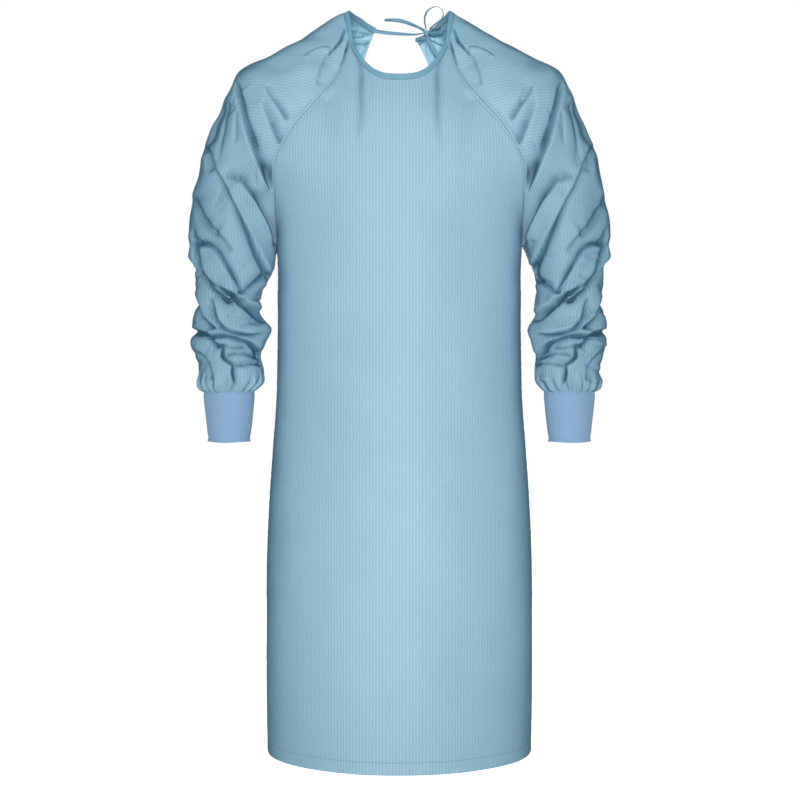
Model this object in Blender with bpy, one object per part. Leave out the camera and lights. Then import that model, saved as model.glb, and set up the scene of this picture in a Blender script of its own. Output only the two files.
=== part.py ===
"""Protective gown with raglan sleeves, knitted cuffs, a bound neck and an open back tied at the neck.

The gown keeps the hollow shape it has when worn. It hangs from the shoulders, so the origin is in the
middle of the neck opening, level with the highest points beside the neck. +Z is up, the front faces -Y.
"""

import math

import bmesh
import bpy
import numpy as np

MM = 0.001

# Driving sizes, in metres
GOWN_LENGTH = 1.200      # from the points beside the neck straight down to the hem
CLOTH = 0.0012           # wall of the woven cloth
KNIT = 0.0020            # wall of the doubled knitted cuff
SEAM_GAP = 0.0003        # clear space where two pieces meet
SIDE_SEAM_Y = 0.005      # the side seams lie a little behind the middle
BINDING_WIDTH = 0.0098   # height of the folded tape round the neck
BINDING_TAPE = 0.0008    # wall of that tape
CUFF_TOP = -0.6143
CUFF_BOTTOM = -0.6930
TIE_WIDTH = 0.0068
TIE_THICKNESS = 0.0012

# How finely the pieces are divided
FRONT_COLUMNS = 20
BACK_COLUMNS = 9
SLEEVE_COLUMNS = 26      # doubled in the gathers above the cuff
CUFF_COLUMNS = 56
GATHERS = 14             # folds of the sleeve's end where it is gathered into the cuff

# Rows of the yoke, in millimetres, from the neck to the armpit. The front, outer and back points are
# where each row of a sleeve meets the front panel, passes over the shoulder and meets the back panel.
YOKE_COLUMNS = (
    "front_x", "front_y", "front_z", "outer_x", "outer_z", "back_x", "back_y", "back_z",
    "mid_y", "front_depth", "back_depth", "roundness",
)
YOKE = (
    (74.0, -42, -58, 81.5, 0, 62.0, 48, -5, 0, 42, 48, 0.35),
    (99.0, -70, -115, 120.4, -22, 86.0, 86, -60, 0, 70, 86, 0.70),
    (123.5, -88, -148, 165.5, -50, 113.0, 104, -105, 0, 88, 104, 1.00),
    (145.5, -97, -174, 214.5, -76, 139.0, 111, -145, 0, 97, 111, 1.00),
    (162.3, -99, -194, 256.0, -97, 161.0, 111, -184, 0, 100, 112, 1.00),
    (187.8, -94, -234, 273.5, -127, 182.0, 104, -230, 0, 97, 107, 1.00),
    (197.4, -82, -262, 289.0, -160, 192.0, 90, -265, 0, 92, 98, 1.00),
    (197.7, -58, -300, 309.9, -208, 196.0, 66, -302, 2, 84, 88, 1.00),
    (197.5, -28, -340, 327.7, -273, 197.2, 36, -341, 3, 76, 80, 1.00),
    (197.4, 5, -372, 341.0, -346, 197.4, 5, -372, 5, 70, 72, 1.00),
)
# The tie pulls the right back corner down, so the first row's back point is lower on that side
BACK_SEAM_TOP_RIGHT = (62.0, 48, -14)
ARMPIT_ROW = len(YOKE) - 1

# Rows of the sleeve below the armpit, in millimetres, down to the gathers at the cuff
ARM_COLUMNS = (
    "inner_left", "inner_right", "inner_z", "outer_x", "outer_z", "mid_y", "front_depth", "back_depth",
)
ARM = (
    (199.5, 204.5, -390, 337.5, -377, 3, 67, 68),
    (203.0, 217.0, -417, 332.5, -406, 0, 63, 63),
    (219.0, 222.0, -445, 329.5, -438, -3, 60, 58),
    (228.5, 222.5, -467, 327.0, -468, -7, 57, 55),
    (223.5, 219.5, -490, 333.0, -496, -11, 56, 54),
    (206.0, 206.5, -513, 330.5, -516, -14, 57, 54),
    (214.0, 213.0, -532, 334.5, -533, -17, 56, 53),
    (223.0, 219.5, -555, 329.5, -554, -20, 53, 51),
    (218.0, 217.5, -577, 321.5, -577, -22, 51, 49),
    (218.0, 219.0, -596, 324.0, -596, -24, 49, 47),
    (227.0, 227.0, -607, 320.5, -607, -26, 43, 43),
    (233.7, 233.7, -614, 312.9, -614, -27, 36.6, 36.6),
)
GATHER_ROW = ARMPIT_ROW + len(ARM) - 3   # the gathers fade out above this row

# Rows of the front and back panels, in millimetres. The first ten are the rows of the yoke.
BODY_COLUMNS = ("centre_z", "front_depth", "back_depth", "opening_left", "opening_right")
BODY_YOKE = (
    (-117, 100, 86, 39, 29),
    (-150, 110, 100, 57, 49),
    (-178, 117, 112, 69, 63),
    (-202, 122, 120, 77, 73),
    (-220, 125, 124, 82, 80),
    (-252, 129, 127, 86, 85),
    (-278, 131, 128, 88, 88),
    (-310, 133, 128, 89, 89),
    (-344, 134, 128, 89, 89),
    (-372, 135, 128, 89, 89),
)
OPENING_TOP_LEFT = (-16, -62)     # height of the back edge's first two rows
OPENING_TOP_RIGHT = (-34, -74)
NECK_SWEEP = 2.9                  # how square the neckline's curve is
SIDE_COLUMNS = ("z", "half_width", "front_depth", "back_depth", "opening")
SIDE = (
    (-415, 195.5, 135, 127, 89),
    (-470, 194.5, 137, 127, 88),
    (-560, 196.0, 140, 128, 86),
    (-630, 198.5, 144, 130, 85),
    (-727, 206.2, 151, 134, 83),
    (-792, 210.8, 155, 138, 82),
    (-889, 215.0, 161, 142, 80),
    (-1054, 216.5, 168, 147, 78),
    (-1200, 215.0, 171, 151, 76),
)
BODY_SIDE_STEPS = 11              # divisions from the armpit to the hem

# The largest folds of a sleeve, in millimetres as seen from the front: the depth of the trough, the
# height of the ridge beside it, its half width, and the points it runs through as x, z pairs.
FRONT_FOLDS = {
    "shoulder_crease": (-9, 4, 13, ((266, -122), (250, -184), (224, -254), (199, -312))),
    "outer_crease": (-9, 4, 13, ((312, -230), (282, -281), (257, -333), (232, -382), (216, -420))),
    "armpit_crease": (-7, 4, 12, ((264, -276), (241, -292), (214, -338), (205, -380))),
    "elbow_dome": (-7, 4, 13, ((318, -377), (291, -384), (266, -420), (248, -451))),
    "elbow_crease": (-12, 5, 13, ((331, -405), (303, -439), (262, -466), (226, -492))),
    "forearm_hollow": (-8, 4, 13, ((297, -472), (285, -506), (254, -521), (210, -524))),
    "forearm_outer": (-6, 3, 12, ((326, -472), (306, -499), (284, -542))),
    "wrist_crease": (-7, 3, 12, ((290, -530), (254, -534), (223, -560))),
}
BACK_FOLDS = {
    "shoulder_crease": (-8, 4, 14, ((254, -140), (242, -200), (218, -268), (202, -330))),
    "outer_crease": (-7, 4, 13, ((314, -260), (284, -322), (252, -372), (218, -410))),
    "elbow_crease": (-10, 5, 13, ((329, -420), (296, -447), (256, -462), (226, -482))),
    "forearm_hollow": (-8, 4, 13, ((320, -500), (284, -516), (246, -520), (214, -512))),
    "wrist_crease": (-6, 3, 12, ((312, -548), (276, -560), (238, -556))),
}
# Soft upright troughs of the front panel below the neckline, the same on each side
CHEST_FOLDS = {
    "neck_trough": (-4, 0, 16, ((66, -108), (64, -140), (62, -185), (72, -235))),
    "seam_trough": (-2, 0, 20, ((118, -168), (112, -230), (106, -320))),
}

# The ties at the back neck, in millimetres: x, y, z and how far the tape is turned, in degrees. At 0 its
# face is to the front, at 90 its edge is.
TIE_LEFT = (
    (-38.7, 73.5, -20.1, 12), (-24, 74.4, -22.3, 18), (-4, 73.6, -24.4, 28), (12, 70, -26, 42),
    (26, 65.4, -27.2, 58), (39.8, 60.0, -26.0, 66),
)
TIE_RIGHT = (
    (27.2, 76.8, -34.6, 8), (31.2, 70.8, -34.0, 8), (35.6, 64.4, -33.2, 8), (40.2, 58.6, -32.4, 8),
)
LOOP_UP = (
    (44.2, 59, -19.2, 80), (41.8, 61.4, -6, 74), (43.4, 65, 5.5, 66), (47.7, 67, 12.9, 66),
    (56.0, 68, 18.2, 74), (63.7, 68, 18.2, 82), (70.0, 67.5, 14.0, 84), (72.4, 66.5, 6.8, 82),
    (70.6, 65.6, 0, 80), (65.6, 63, -5.6, 80), (56.5, 59, -13, 80), (49.6, 56, -20.0, 80),
)
LOOP_SIDE = (
    (50.0, 55.0, -22.6, 62), (55.4, 47.5, -20.4, 52), (63.5, 40.5, -19.2, 42), (69.6, 31.5, -19.6, 34),
    (71.4, 25.5, -23.6, 30), (68, 29.5, -29, 34), (61.5, 38.0, -30.4, 44), (55, 46.5, -30.2, 54),
    (49.9, 54.6, -29.2, 62),
)
END_LEFT = (
    (41.7, 61.0, -21.8, 58), (33.7, 65.6, -16.4, 62), (24.5, 69, -11.6, 56), (12.5, 71, -6.4, 34),
    (1.2, 72, -3.4, 10), (-12.2, 73, -2.0, 4), (-24.5, 73, -2.2, 20),
)
END_LOW = (
    (46.0, 58.6, -31.0, 40), (48.6, 56, -39.2, 20), (53, 56, -46.9, 12), (58.6, 57, -56.0, 10),
    (63.6, 58, -63.3, 14),
)
KNOT_CENTRE = (44.9, 59.5, -25.7)
KNOT_SIZE = (9.4, 7.0, 9.6)

COLOURS = {
    "cloth": ((0.38, 0.59, 0.71), 0.55),
    "binding": ((0.24, 0.46, 0.58), 0.50),
    "knit": ((0.22, 0.40, 0.62), 0.85),
}


def clear_scene():
    for obj in list(bpy.data.objects):
        bpy.data.objects.remove(obj)


def material(name):
    """The Principled material of this name, made once."""
    made = bpy.data.materials.get(name)
    if made is None:
        colour, roughness = COLOURS[name]
        made = bpy.data.materials.new(name)
        made.use_nodes = True
        shader = made.node_tree.nodes["Principled BSDF"]
        shader.inputs["Base Color"].default_value = (*colour, 1)
        shader.inputs["Roughness"].default_value = roughness
        shader.inputs["Metallic"].default_value = 0
    return made


def smooth_rows(rows, at):
    """Values between table rows: a Catmull-Rom curve through them, at these fractional row numbers."""
    rows = np.asarray(rows, float)
    at = np.clip(np.asarray(at, float), 0, len(rows) - 1)
    first = np.minimum(at.astype(int), len(rows) - 2)
    part = (at - first)[..., None]
    slopes = np.gradient(rows, axis=0)
    start, end = rows[first], rows[first + 1]
    leave, arrive = slopes[first], slopes[first + 1]
    square, cube = part**2, part**3
    return (
        (2 * cube - 3 * square + 1) * start
        + (cube - 2 * square + part) * leave
        + (3 * square - 2 * cube) * end
        + (cube - square) * arrive
    )


def yoke_rows(side):
    rows = [list(row) for row in YOKE]
    if side > 0:
        rows[0][5:8] = BACK_SEAM_TOP_RIGHT
    return rows


def sleeve_table(side):
    """All rows of a sleeve. Below the armpit its front and back seam points are one."""
    rows = yoke_rows(side)
    for inner_left, inner_right, inner_z, outer_x, outer_z, mid_y, front_depth, back_depth in ARM:
        inner = [inner_left if side < 0 else inner_right, mid_y, inner_z]
        rows.append([*inner, outer_x, outer_z, *inner, mid_y, front_depth, back_depth, 1.0])
    return rows


def body_table(side):
    """All rows of the body: edge points of the front and back panels, centre height, depths and opening."""
    rows = []
    for yoke, body in zip(yoke_rows(side), BODY_YOKE):
        seams = dict(zip(YOKE_COLUMNS, yoke))
        front = [seams["front_x"], seams["front_y"], seams["front_z"]]
        back = [seams["back_x"], seams["back_y"], seams["back_z"]]
        rows.append([*front, *back, *body])
    middle = SIDE_SEAM_Y / MM
    for z, half_width, front_depth, back_depth, opening in SIDE:
        edge = [half_width, middle, z]
        rows.append([*edge, *edge, z, front_depth, back_depth, opening, opening])
    return rows


BODY_NAMES = (
    "front_x", "front_y", "front_z", "back_x", "back_y", "back_z",
    "centre_z", "front_depth", "back_depth", "opening_left", "opening_right",
)


def columns_at(table, names, at):
    """The table's smoothed columns at these row numbers, in metres, by name."""
    values = smooth_rows(table, at)
    return {name: values[..., i] * MM for i, name in enumerate(names)}


def sleeve_points(at, around, side):
    """A sleeve's middle surface on the side x > 0: at is the row number, around runs from 0 at the front seam over
    the shoulder to 1 at the back seam. Each half row is an arc of an ellipse from the seam to the outside."""
    row = columns_at(sleeve_table(side), YOKE_COLUMNS, at)
    roundness = row["roundness"] / MM
    front = around <= 0.5
    share = np.where(front, around * 2, (1 - around) * 2)
    edge_x = np.where(front, row["front_x"], row["back_x"])
    edge_y = np.where(front, row["front_y"], row["back_y"])
    edge_z = np.where(front, row["front_z"], row["back_z"])
    depth = np.where(front, -row["front_depth"], row["back_depth"])
    start = np.arcsin(np.clip((edge_y - row["mid_y"]) / depth, 0, 1))
    turn = start + (math.pi - start) * share
    across = (np.cos(start) - np.cos(turn)) / (np.cos(start) + 1)
    across = roundness * across + (1 - roundness) * share
    y = row["mid_y"] + depth * np.sin(turn)
    y = roundness * y + (1 - roundness) * (edge_y + (row["mid_y"] - edge_y) * share)
    return np.stack(
        [edge_x + (row["outer_x"] - edge_x) * across, y, edge_z + (row["outer_z"] - edge_z) * across],
        axis=-1,
    )


def front_points(at, across):
    """The front panel's middle surface: across runs from -1 at its left edge to 1 at its right edge."""
    row = columns_at(body_table(-1), BODY_NAMES, at)
    depth = SIDE_SEAM_Y + row["front_depth"]
    edge_turn = np.arccos(np.clip((SIDE_SEAM_Y - row["front_y"]) / depth, 0, 1))
    turn = edge_turn * across
    x = row["front_x"] * np.sin(turn) / np.sin(edge_turn)
    share = np.abs(x) / row["front_x"]
    z = row["centre_z"] + (row["front_z"] - row["centre_z"]) * share**NECK_SWEEP
    return np.stack([x, SIDE_SEAM_Y - depth * np.cos(turn), z], axis=-1)


def back_points(at, across, side):
    """A back panel's middle surface on the side x > 0: across runs from 0 at its seam to 1 at the opening."""
    row = columns_at(body_table(side), BODY_NAMES, at)
    depth = row["back_depth"] - SIDE_SEAM_Y
    edge_turn = np.arccos(np.clip((row["back_y"] - SIDE_SEAM_Y) / depth, 0, 1))
    width = row["back_x"] / np.sin(edge_turn)
    opening = row["opening_left" if side < 0 else "opening_right"]
    open_turn = np.arcsin(np.clip(opening / width, 0, 1))
    turn = edge_turn + (open_turn - edge_turn) * across
    top = OPENING_TOP_LEFT if side < 0 else OPENING_TOP_RIGHT
    seam = yoke_rows(side)
    drop = np.interp(at, (0, 1, 2), (top[0] - seam[0][7], top[1] - seam[1][7], 0)) * MM
    z = row["back_z"] + drop * across
    return np.stack([width * np.sin(turn), SIDE_SEAM_Y + depth * np.cos(turn), z], axis=-1)


def grid_normals(points):
    """Unit normals of a grid of points, from the cross product of its two directions."""
    down = np.gradient(points, axis=0)
    along = np.gradient(points, axis=1)
    normals = np.cross(down, along)
    return normals / np.maximum(np.linalg.norm(normals, axis=-1, keepdims=True), 1e-12)


def fold_height(points, fold):
    """How far a fold moves each point out: a trough along its line, with a ridge on its upper side."""
    trough, ridge, half_width, line = fold
    line = smooth_rows(line, np.linspace(0, len(line) - 1, 8 * len(line))) * MM
    flat = points[..., (0, 2)].reshape(-1, 1, 2)
    starts, runs = line[:-1], np.diff(line, axis=0)
    lengths = (runs**2).sum(axis=1)
    along = np.clip(((flat - starts) * runs).sum(axis=2) / lengths, 0, 1)
    away = flat - (starts + along[..., None] * runs)
    distance = np.linalg.norm(away, axis=2)
    nearest = distance.argmin(axis=1)
    pick = np.arange(len(nearest))
    run = runs[nearest]
    side = np.sign(run[:, 0] * away[pick, nearest, 1] - run[:, 1] * away[pick, nearest, 0])
    across = side * distance[pick, nearest] / (half_width * MM)
    position = (nearest + along[pick, nearest]) / len(runs)
    ends = np.clip(np.minimum(position, 1 - position) * 5, 0, 1)
    ends = ends * ends * (3 - 2 * ends)
    beyond = np.where((position <= 0) | (position >= 1), 0.0, 1.0)
    shape = trough * np.exp(-(across**2)) + ridge * np.exp(-((np.abs(across) - 1.7) ** 2))
    return (shape * ends * beyond * MM).reshape(points.shape[:-1])


def fold_sleeve(points, around):
    """Moves the sleeve's points along its normals by its largest folds, fading out at the seams."""
    outward = grid_normals(points)
    edge = np.clip(np.minimum(around, 1 - around) / 0.07, 0, 1)
    edge = edge * edge * (3 - 2 * edge)
    is_front = np.clip((0.58 - around) / 0.14, 0, 1)
    height = sum(fold_height(points, fold) for fold in FRONT_FOLDS.values()) * is_front
    height = height + sum(fold_height(points, fold) for fold in BACK_FOLDS.values()) * (1 - is_front)
    return points + outward * (height * edge)[..., None]


def gather_sleeve(points, at, around):
    """Waves of the sleeve's end where it is gathered into the cuff, deepest just above the seam."""
    last = len(YOKE) + len(ARM) - 1
    share = np.clip((at - GATHER_ROW) / (last - GATHER_ROW), 0, 1)
    wave = np.cos(2 * math.pi * GATHERS * around) + 0.4 * np.cos(2 * math.pi * 5 * around + 1)
    height = 1.9 * MM * wave * np.sin(share * 2.6) ** 2 * (share < 1)
    return points + grid_normals(points) * height[..., None]


def move_sleeve_off_body(points, at, around):
    """Sets the sleeve's seam edges clear of the body: beside the panels' edges along the shoulder, and
    a wall's thickness outside them where both lie face to face under the arm."""
    closeness = np.exp(-((np.minimum(around, 1 - around) / 0.05) ** 2))
    beside = np.interp(at, (0, 5, 8, ARMPIT_ROW + 1), (1.6, 1.6, 3.2, 3.6)) * SEAM_GAP
    under = np.interp(at, (4, 6, 8, ARMPIT_ROW, ARMPIT_ROW + 3), (0, 0.5, 1.4, 1.5, 0)) * CLOTH
    direction = points[:, len(around[0]) // 2][:, None] - points
    length = np.maximum(np.linalg.norm(direction, axis=-1, keepdims=True), 1e-9)
    at_seam = (at <= ARMPIT_ROW)
    moved = points + direction / length * (beside * closeness * at_seam)[..., None]
    return moved + np.array([1.0, 0, 0]) * (under * closeness)[..., None]


def binding_row(surface, at_last, columns):
    """Row numbers one binding's width below the neck, one for each column of a surface."""
    at = np.linspace(0, at_last, 60)[:, None] * np.ones(len(columns))
    points = surface(at, np.ones((60, 1)) * columns)
    lengths = np.linalg.norm(np.diff(points, axis=0), axis=2).cumsum(axis=0)
    lengths = np.vstack([np.zeros(len(columns)), lengths])
    return np.array([np.interp(BINDING_WIDTH, lengths[:, i], at[:, i]) for i in range(len(columns))])


def row_numbers(surface, columns, last_rows):
    """The row numbers of a piece's grid: the neck edge, the binding's lower edge, then these rows."""
    neck = np.zeros(len(columns))
    lower = binding_row(surface, 0.6, columns)
    rest = np.asarray(last_rows)[:, None] * np.ones(len(columns))
    return np.vstack([neck, lower, rest])


YOKE_STEPS = [0.6, 1.0, 1.6, 2.2, 2.8, 3.4, 4.0, 4.6, 5.2, 5.8, 6.5, 7.2, 8.0, 8.6, 9.0]


def sleeve_grid(columns, side):
    """Points of one sleeve on the side x > 0 and its row numbers, folds included."""
    around = np.linspace(0, 1, columns + 1)

    def surface(at, share):
        return sleeve_points(at, share, side)

    arm = list(np.arange(ARMPIT_ROW + 0.6, ARMPIT_ROW + len(ARM) - 2.9, 0.72))
    gathers = [GATHER_ROW + share * 3 for share in (0.12, 0.4, 0.62, 0.82, 1.0)]
    at = row_numbers(surface, around, YOKE_STEPS + arm + gathers)
    grid = np.ones((len(at), 1)) * around
    points = fold_sleeve(surface(at, grid), grid)
    points = move_sleeve_off_body(gather_sleeve(points, at, grid), at, grid)
    return points, at


def body_rows():
    side = np.linspace(ARMPIT_ROW, ARMPIT_ROW + len(SIDE), BODY_SIDE_STEPS + 1)[1:]
    return YOKE_STEPS + list(side)


def front_grid():
    """Points of the front panel, its troughs included, with its edges clear of the seams."""
    across = np.linspace(-1, 1, FRONT_COLUMNS + 1)
    at = row_numbers(front_points, across, body_rows())
    points = front_points(at, np.ones((len(at), 1)) * across)
    mirrored = np.abs(points) * (1, 0, 0) + points * (0, 1, 1)
    height = sum(fold_height(mirrored, fold) for fold in CHEST_FOLDS.values())
    points = points - grid_normals(points) * height[..., None]
    return pull_in(points, at)


def pull_in(points, at):
    """Draws a panel's two outer columns half a seam's gap towards its middle."""
    gap = np.interp(at[:, 0], (0, 7, ARMPIT_ROW, ARMPIT_ROW + 1), (1.2, 1.2, 0.9, 0.6)) * SEAM_GAP
    for edge, inner in ((0, 1), (-1, -2)):
        towards = points[:, inner] - points[:, edge]
        towards /= np.linalg.norm(towards, axis=1, keepdims=True)
        points[:, edge] += towards * gap[:, None]
    return points


def back_grid(side):
    """Points of one back panel on its own side, with its edges clear of the seams."""
    across = np.linspace(0, 1, BACK_COLUMNS + 1)

    def surface(at, share):
        return back_points(at, share, side)

    at = row_numbers(surface, across, body_rows())
    points = pull_in(surface(at, np.ones((len(at), 1)) * across), at)
    return points * (side, 1, 1)


def add_object(name, vertices, faces, material_name):
    """A mesh object with outward faces from points and face corners."""
    mesh = bpy.data.meshes.new(name)
    mesh.from_pydata([tuple(map(float, v)) for v in vertices], [], faces)
    obj = bpy.data.objects.new(name, mesh)
    bpy.context.scene.collection.objects.link(obj)
    mesh.materials.append(material(material_name))
    mesh.shade_smooth()
    return obj


def add_wall(name, vertices, faces, material_name, thickness):
    """A sheet of cloth given its thickness by Solidify, half to each side."""
    obj = add_object(name, vertices, faces, material_name)
    solidify = obj.modifiers.new("cloth thickness", "SOLIDIFY")
    solidify.thickness = thickness
    solidify.offset = 0
    return obj


def grid_faces(rows, columns, flip):
    """Quads of a grid with this many rows and columns of cells."""
    faces = []
    width = columns + 1
    for row in range(rows):
        for column in range(columns):
            a = row * width + column
            quad = (a, a + 1, a + width + 1, a + width)
            faces.append(quad[::-1] if flip else quad)
    return faces


def build_panel(name, points, flip):
    rows, columns = points.shape[0] - 1, points.shape[1] - 1
    faces = grid_faces(rows, columns, flip)
    return add_wall(name, points.reshape(-1, 3), faces, "cloth", CLOTH)


def build_sleeve(name, side):
    """One sleeve: open along the yoke, a closed tube from the armpit down, with twice the columns in the
    gathered end."""
    coarse, at = sleeve_grid(SLEEVE_COLUMNS, side)
    fine, _ = sleeve_grid(2 * SLEEVE_COLUMNS, side)
    split = int(np.searchsorted(at[:, 0], GATHER_ROW))
    armpit = int(np.searchsorted(at[:, 0], ARMPIT_ROW))
    vertices, index = [], []
    for row, points in enumerate([*coarse[:split], *fine[split:]]):
        last = len(points) - (1 if row >= armpit else 0)
        first = len(vertices)
        vertices.extend(points[:last])
        index.append([first + i % last for i in range(len(points))])
    faces = []
    for upper, lower in zip(index, index[1:]):
        for i in range(len(upper) - 1):
            if len(upper) == len(lower):
                faces.append((upper[i], upper[i + 1], lower[i + 1], lower[i]))
            else:
                middle = lower[2 * i + 1]
                faces.append((upper[i], middle, lower[2 * i]))
                faces.append((upper[i], upper[i + 1], middle))
                faces.append((upper[i + 1], lower[2 * i + 2], middle))
    if side > 0:
        faces = [face[::-1] for face in faces]
    points = np.array(vertices) * (side, 1, 1)
    return add_wall(name, points, faces, "cloth", CLOTH)


def build_cuff(name, side):
    """A knitted tube that narrows to its rolled lower edge."""
    turn = np.linspace(0, 2 * math.pi, CUFF_COLUMNS // 2, endpoint=False)
    # share of the height, half width and half depth in millimetres
    rings = (
        (0.000, 39.6, 36.6), (0.12, 39.9, 37.0), (0.45, 37.2, 35.2), (0.80, 34.0, 32.8),
        (0.93, 32.4, 31.6), (0.98, 33.4, 32.6), (1.0, 33.6, 32.8),
    )
    top_x, bottom_x, top_y, bottom_y = 273.3 * MM, 273.4 * MM, -27 * MM, -31 * MM
    vertices = []
    for share, half_width, half_depth in rings:
        x = top_x + (bottom_x - top_x) * share + half_width * MM * np.cos(turn)
        y = top_y + (bottom_y - top_y) * share + half_depth * MM * np.sin(turn)
        z = np.full_like(turn, CUFF_TOP - SEAM_GAP * 1.5 + (CUFF_BOTTOM - CUFF_TOP) * share)
        vertices.extend(np.stack([x * side, y, z], axis=1))
    count = len(turn)
    faces = []
    for ring in range(len(rings) - 1):
        for i in range(count):
            j = (i + 1) % count
            a, b = ring * count, (ring + 1) * count
            quad = (a + i, b + i, b + j, a + j)
            faces.append(quad if side > 0 else quad[::-1])
    return add_wall(name, vertices, faces, "knit", KNIT)


def mitre(first, second):
    """The direction half way between two unit directions, as long as a mitred corner needs."""
    return (first + second) / (1 + float(np.dot(first, second)))


def neck_stations(pieces):
    """Along the neck from the left back corner round the front to the right back corner: the edge, and
    the unit ways down the cloth's rows, square up from the edge, and out of the cloth."""
    edge, down, up, outward = [], [], [], []
    for piece in pieces:
        along = np.gradient(piece[0], axis=0)
        low = piece[1] - piece[0]
        low /= np.linalg.norm(low, axis=1, keepdims=True)
        out = np.cross(along, low)
        out /= np.linalg.norm(out, axis=1, keepdims=True)
        high = np.cross(along, out)
        high /= np.linalg.norm(high, axis=1, keepdims=True)
        top, low, high, out = list(piece[0]), list(low), list(high), list(out)
        if edge:
            edge[-1] = (edge[-1] + top.pop(0)) / 2
            down[-1] = mitre(down[-1], low.pop(0))
            up[-1] = mitre(up[-1], high.pop(0))
            outward[-1] = mitre(outward[-1], out.pop(0))
        edge.extend(top)
        down.extend(low)
        up.extend(high)
        outward.extend(out)
    return np.array(edge), np.array(down), np.array(up), np.array(outward)


def build_binding(edge, down, up, outward):
    """The folded tape over the neck edge: a U-shaped section carried along the edge, its legs down both
    faces of the cloth."""
    inner = CLOTH / 2 + 1.2 * SEAM_GAP
    outer = inner + BINDING_TAPE
    crown = SEAM_GAP + BINDING_TAPE
    # how far each corner lies down the cloth, up from its edge, and out of it
    section = (
        (0, crown, outer), (BINDING_WIDTH, 0, outer), (BINDING_WIDTH, 0, inner), (0, SEAM_GAP, inner),
        (0, SEAM_GAP, -inner), (BINDING_WIDTH, 0, -inner), (BINDING_WIDTH, 0, -outer), (0, crown, -outer),
    )
    vertices = []
    for point, below, above, side in zip(edge, down, up, outward):
        vertices.extend(point + below * low + above * high + side * out for low, high, out in section)
    count = len(section)
    faces = [tuple(range(count))]
    for station in range(len(edge) - 1):
        for i in range(count):
            j = (i + 1) % count
            a, b = station * count, (station + 1) * count
            faces.append((a + i, b + i, b + j, a + j))
    faces.append(tuple(range(len(vertices) - 1, len(vertices) - count - 1, -1)))
    return finish_faces(add_object("neck_binding", vertices, faces, "binding"))


def finish_faces(obj):
    """Turns every face outwards."""
    mesh = bmesh.new()
    mesh.from_mesh(obj.data)
    bmesh.ops.recalc_face_normals(mesh, faces=mesh.faces)
    mesh.to_mesh(obj.data)
    mesh.free()
    obj.data.set_sharp_from_angle(angle=math.radians(40))
    return obj


def build_tape(name, route, steps):
    """A flat tape along a route: a rectangle carried along its curve, turned as the route says."""
    rows = smooth_rows(route, np.linspace(0, len(route) - 1, steps))
    line, turn = rows[:, :3] * MM, np.radians(rows[:, 3])
    forward = np.gradient(line, axis=0)
    forward /= np.linalg.norm(forward, axis=1, keepdims=True)
    depth = np.array([0, 1.0, 0])
    upright = np.cross(forward, depth)
    upright /= np.linalg.norm(upright, axis=1, keepdims=True)
    level = np.cross(upright, forward)
    wide = upright * np.cos(turn)[:, None] + level * np.sin(turn)[:, None]
    thin = np.cross(forward, wide)
    corners = ((-1, -1), (1, -1), (1, 1), (-1, 1))
    vertices = []
    for point, across, through in zip(line, wide, thin):
        for i, j in corners:
            vertices.append(point + across * i * TIE_WIDTH / 2 + through * j * TIE_THICKNESS / 2)
    faces = [(0, 1, 2, 3)]
    for station in range(steps - 1):
        for i in range(4):
            j = (i + 1) % 4
            a, b = station * 4, (station + 1) * 4
            faces.append((a + i, b + i, b + j, a + j))
    last = 4 * (steps - 1)
    faces.append((last + 3, last + 2, last + 1, last))
    return finish_faces(add_object(name, vertices, faces, "binding"))


def build_knot():
    mesh = bpy.data.meshes.new("bow_knot")
    shape = bmesh.new()
    bmesh.ops.create_uvsphere(shape, u_segments=12, v_segments=8, radius=0.5)
    for vertex in shape.verts:
        vertex.co = [vertex.co[i] * KNOT_SIZE[i] * MM + KNOT_CENTRE[i] * MM for i in range(3)]
    shape.to_mesh(mesh)
    shape.free()
    obj = bpy.data.objects.new("bow_knot", mesh)
    bpy.context.scene.collection.objects.link(obj)
    mesh.materials.append(material("binding"))
    mesh.shade_smooth()


def main():
    clear_scene()
    front = front_grid()
    back_left, back_right = back_grid(-1), back_grid(1)
    left_sleeve = sleeve_grid(SLEEVE_COLUMNS, -1)[0] * (-1, 1, 1)
    right_sleeve = sleeve_grid(SLEEVE_COLUMNS, 1)[0]
    build_panel("front_panel", front, False)
    build_panel("back_panel_left", back_left, False)
    build_panel("back_panel_right", back_right, True)
    build_sleeve("sleeve_left", -1)
    build_sleeve("sleeve_right", 1)
    build_cuff("cuff_left", -1)
    build_cuff("cuff_right", 1)
    neck = (back_left[:2, ::-1], left_sleeve[:2, ::-1], front[:2], right_sleeve[:2], back_right[:2, :])
    build_binding(*neck_stations(neck))
    build_tape("neck_tie_left", TIE_LEFT, 14)
    build_tape("neck_tie_right", TIE_RIGHT, 7)
    build_tape("bow_loop_up", LOOP_UP, 26)
    build_tape("bow_loop_side", LOOP_SIDE, 20)
    build_tape("tie_end_left", END_LEFT, 14)
    build_tape("tie_end_low", END_LOW, 10)
    build_knot()


main()
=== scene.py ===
# A protective gown of woven striped polyester: raglan sleeves, knitted cuffs, a bound neck and an open back
# that is tied at the neck. It keeps the hollow shape it has when worn. The origin is in the middle of the neck,
# +Z is up and the front faces -Y. Tables are in millimetres, everything built from them is in metres.
import math

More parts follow.
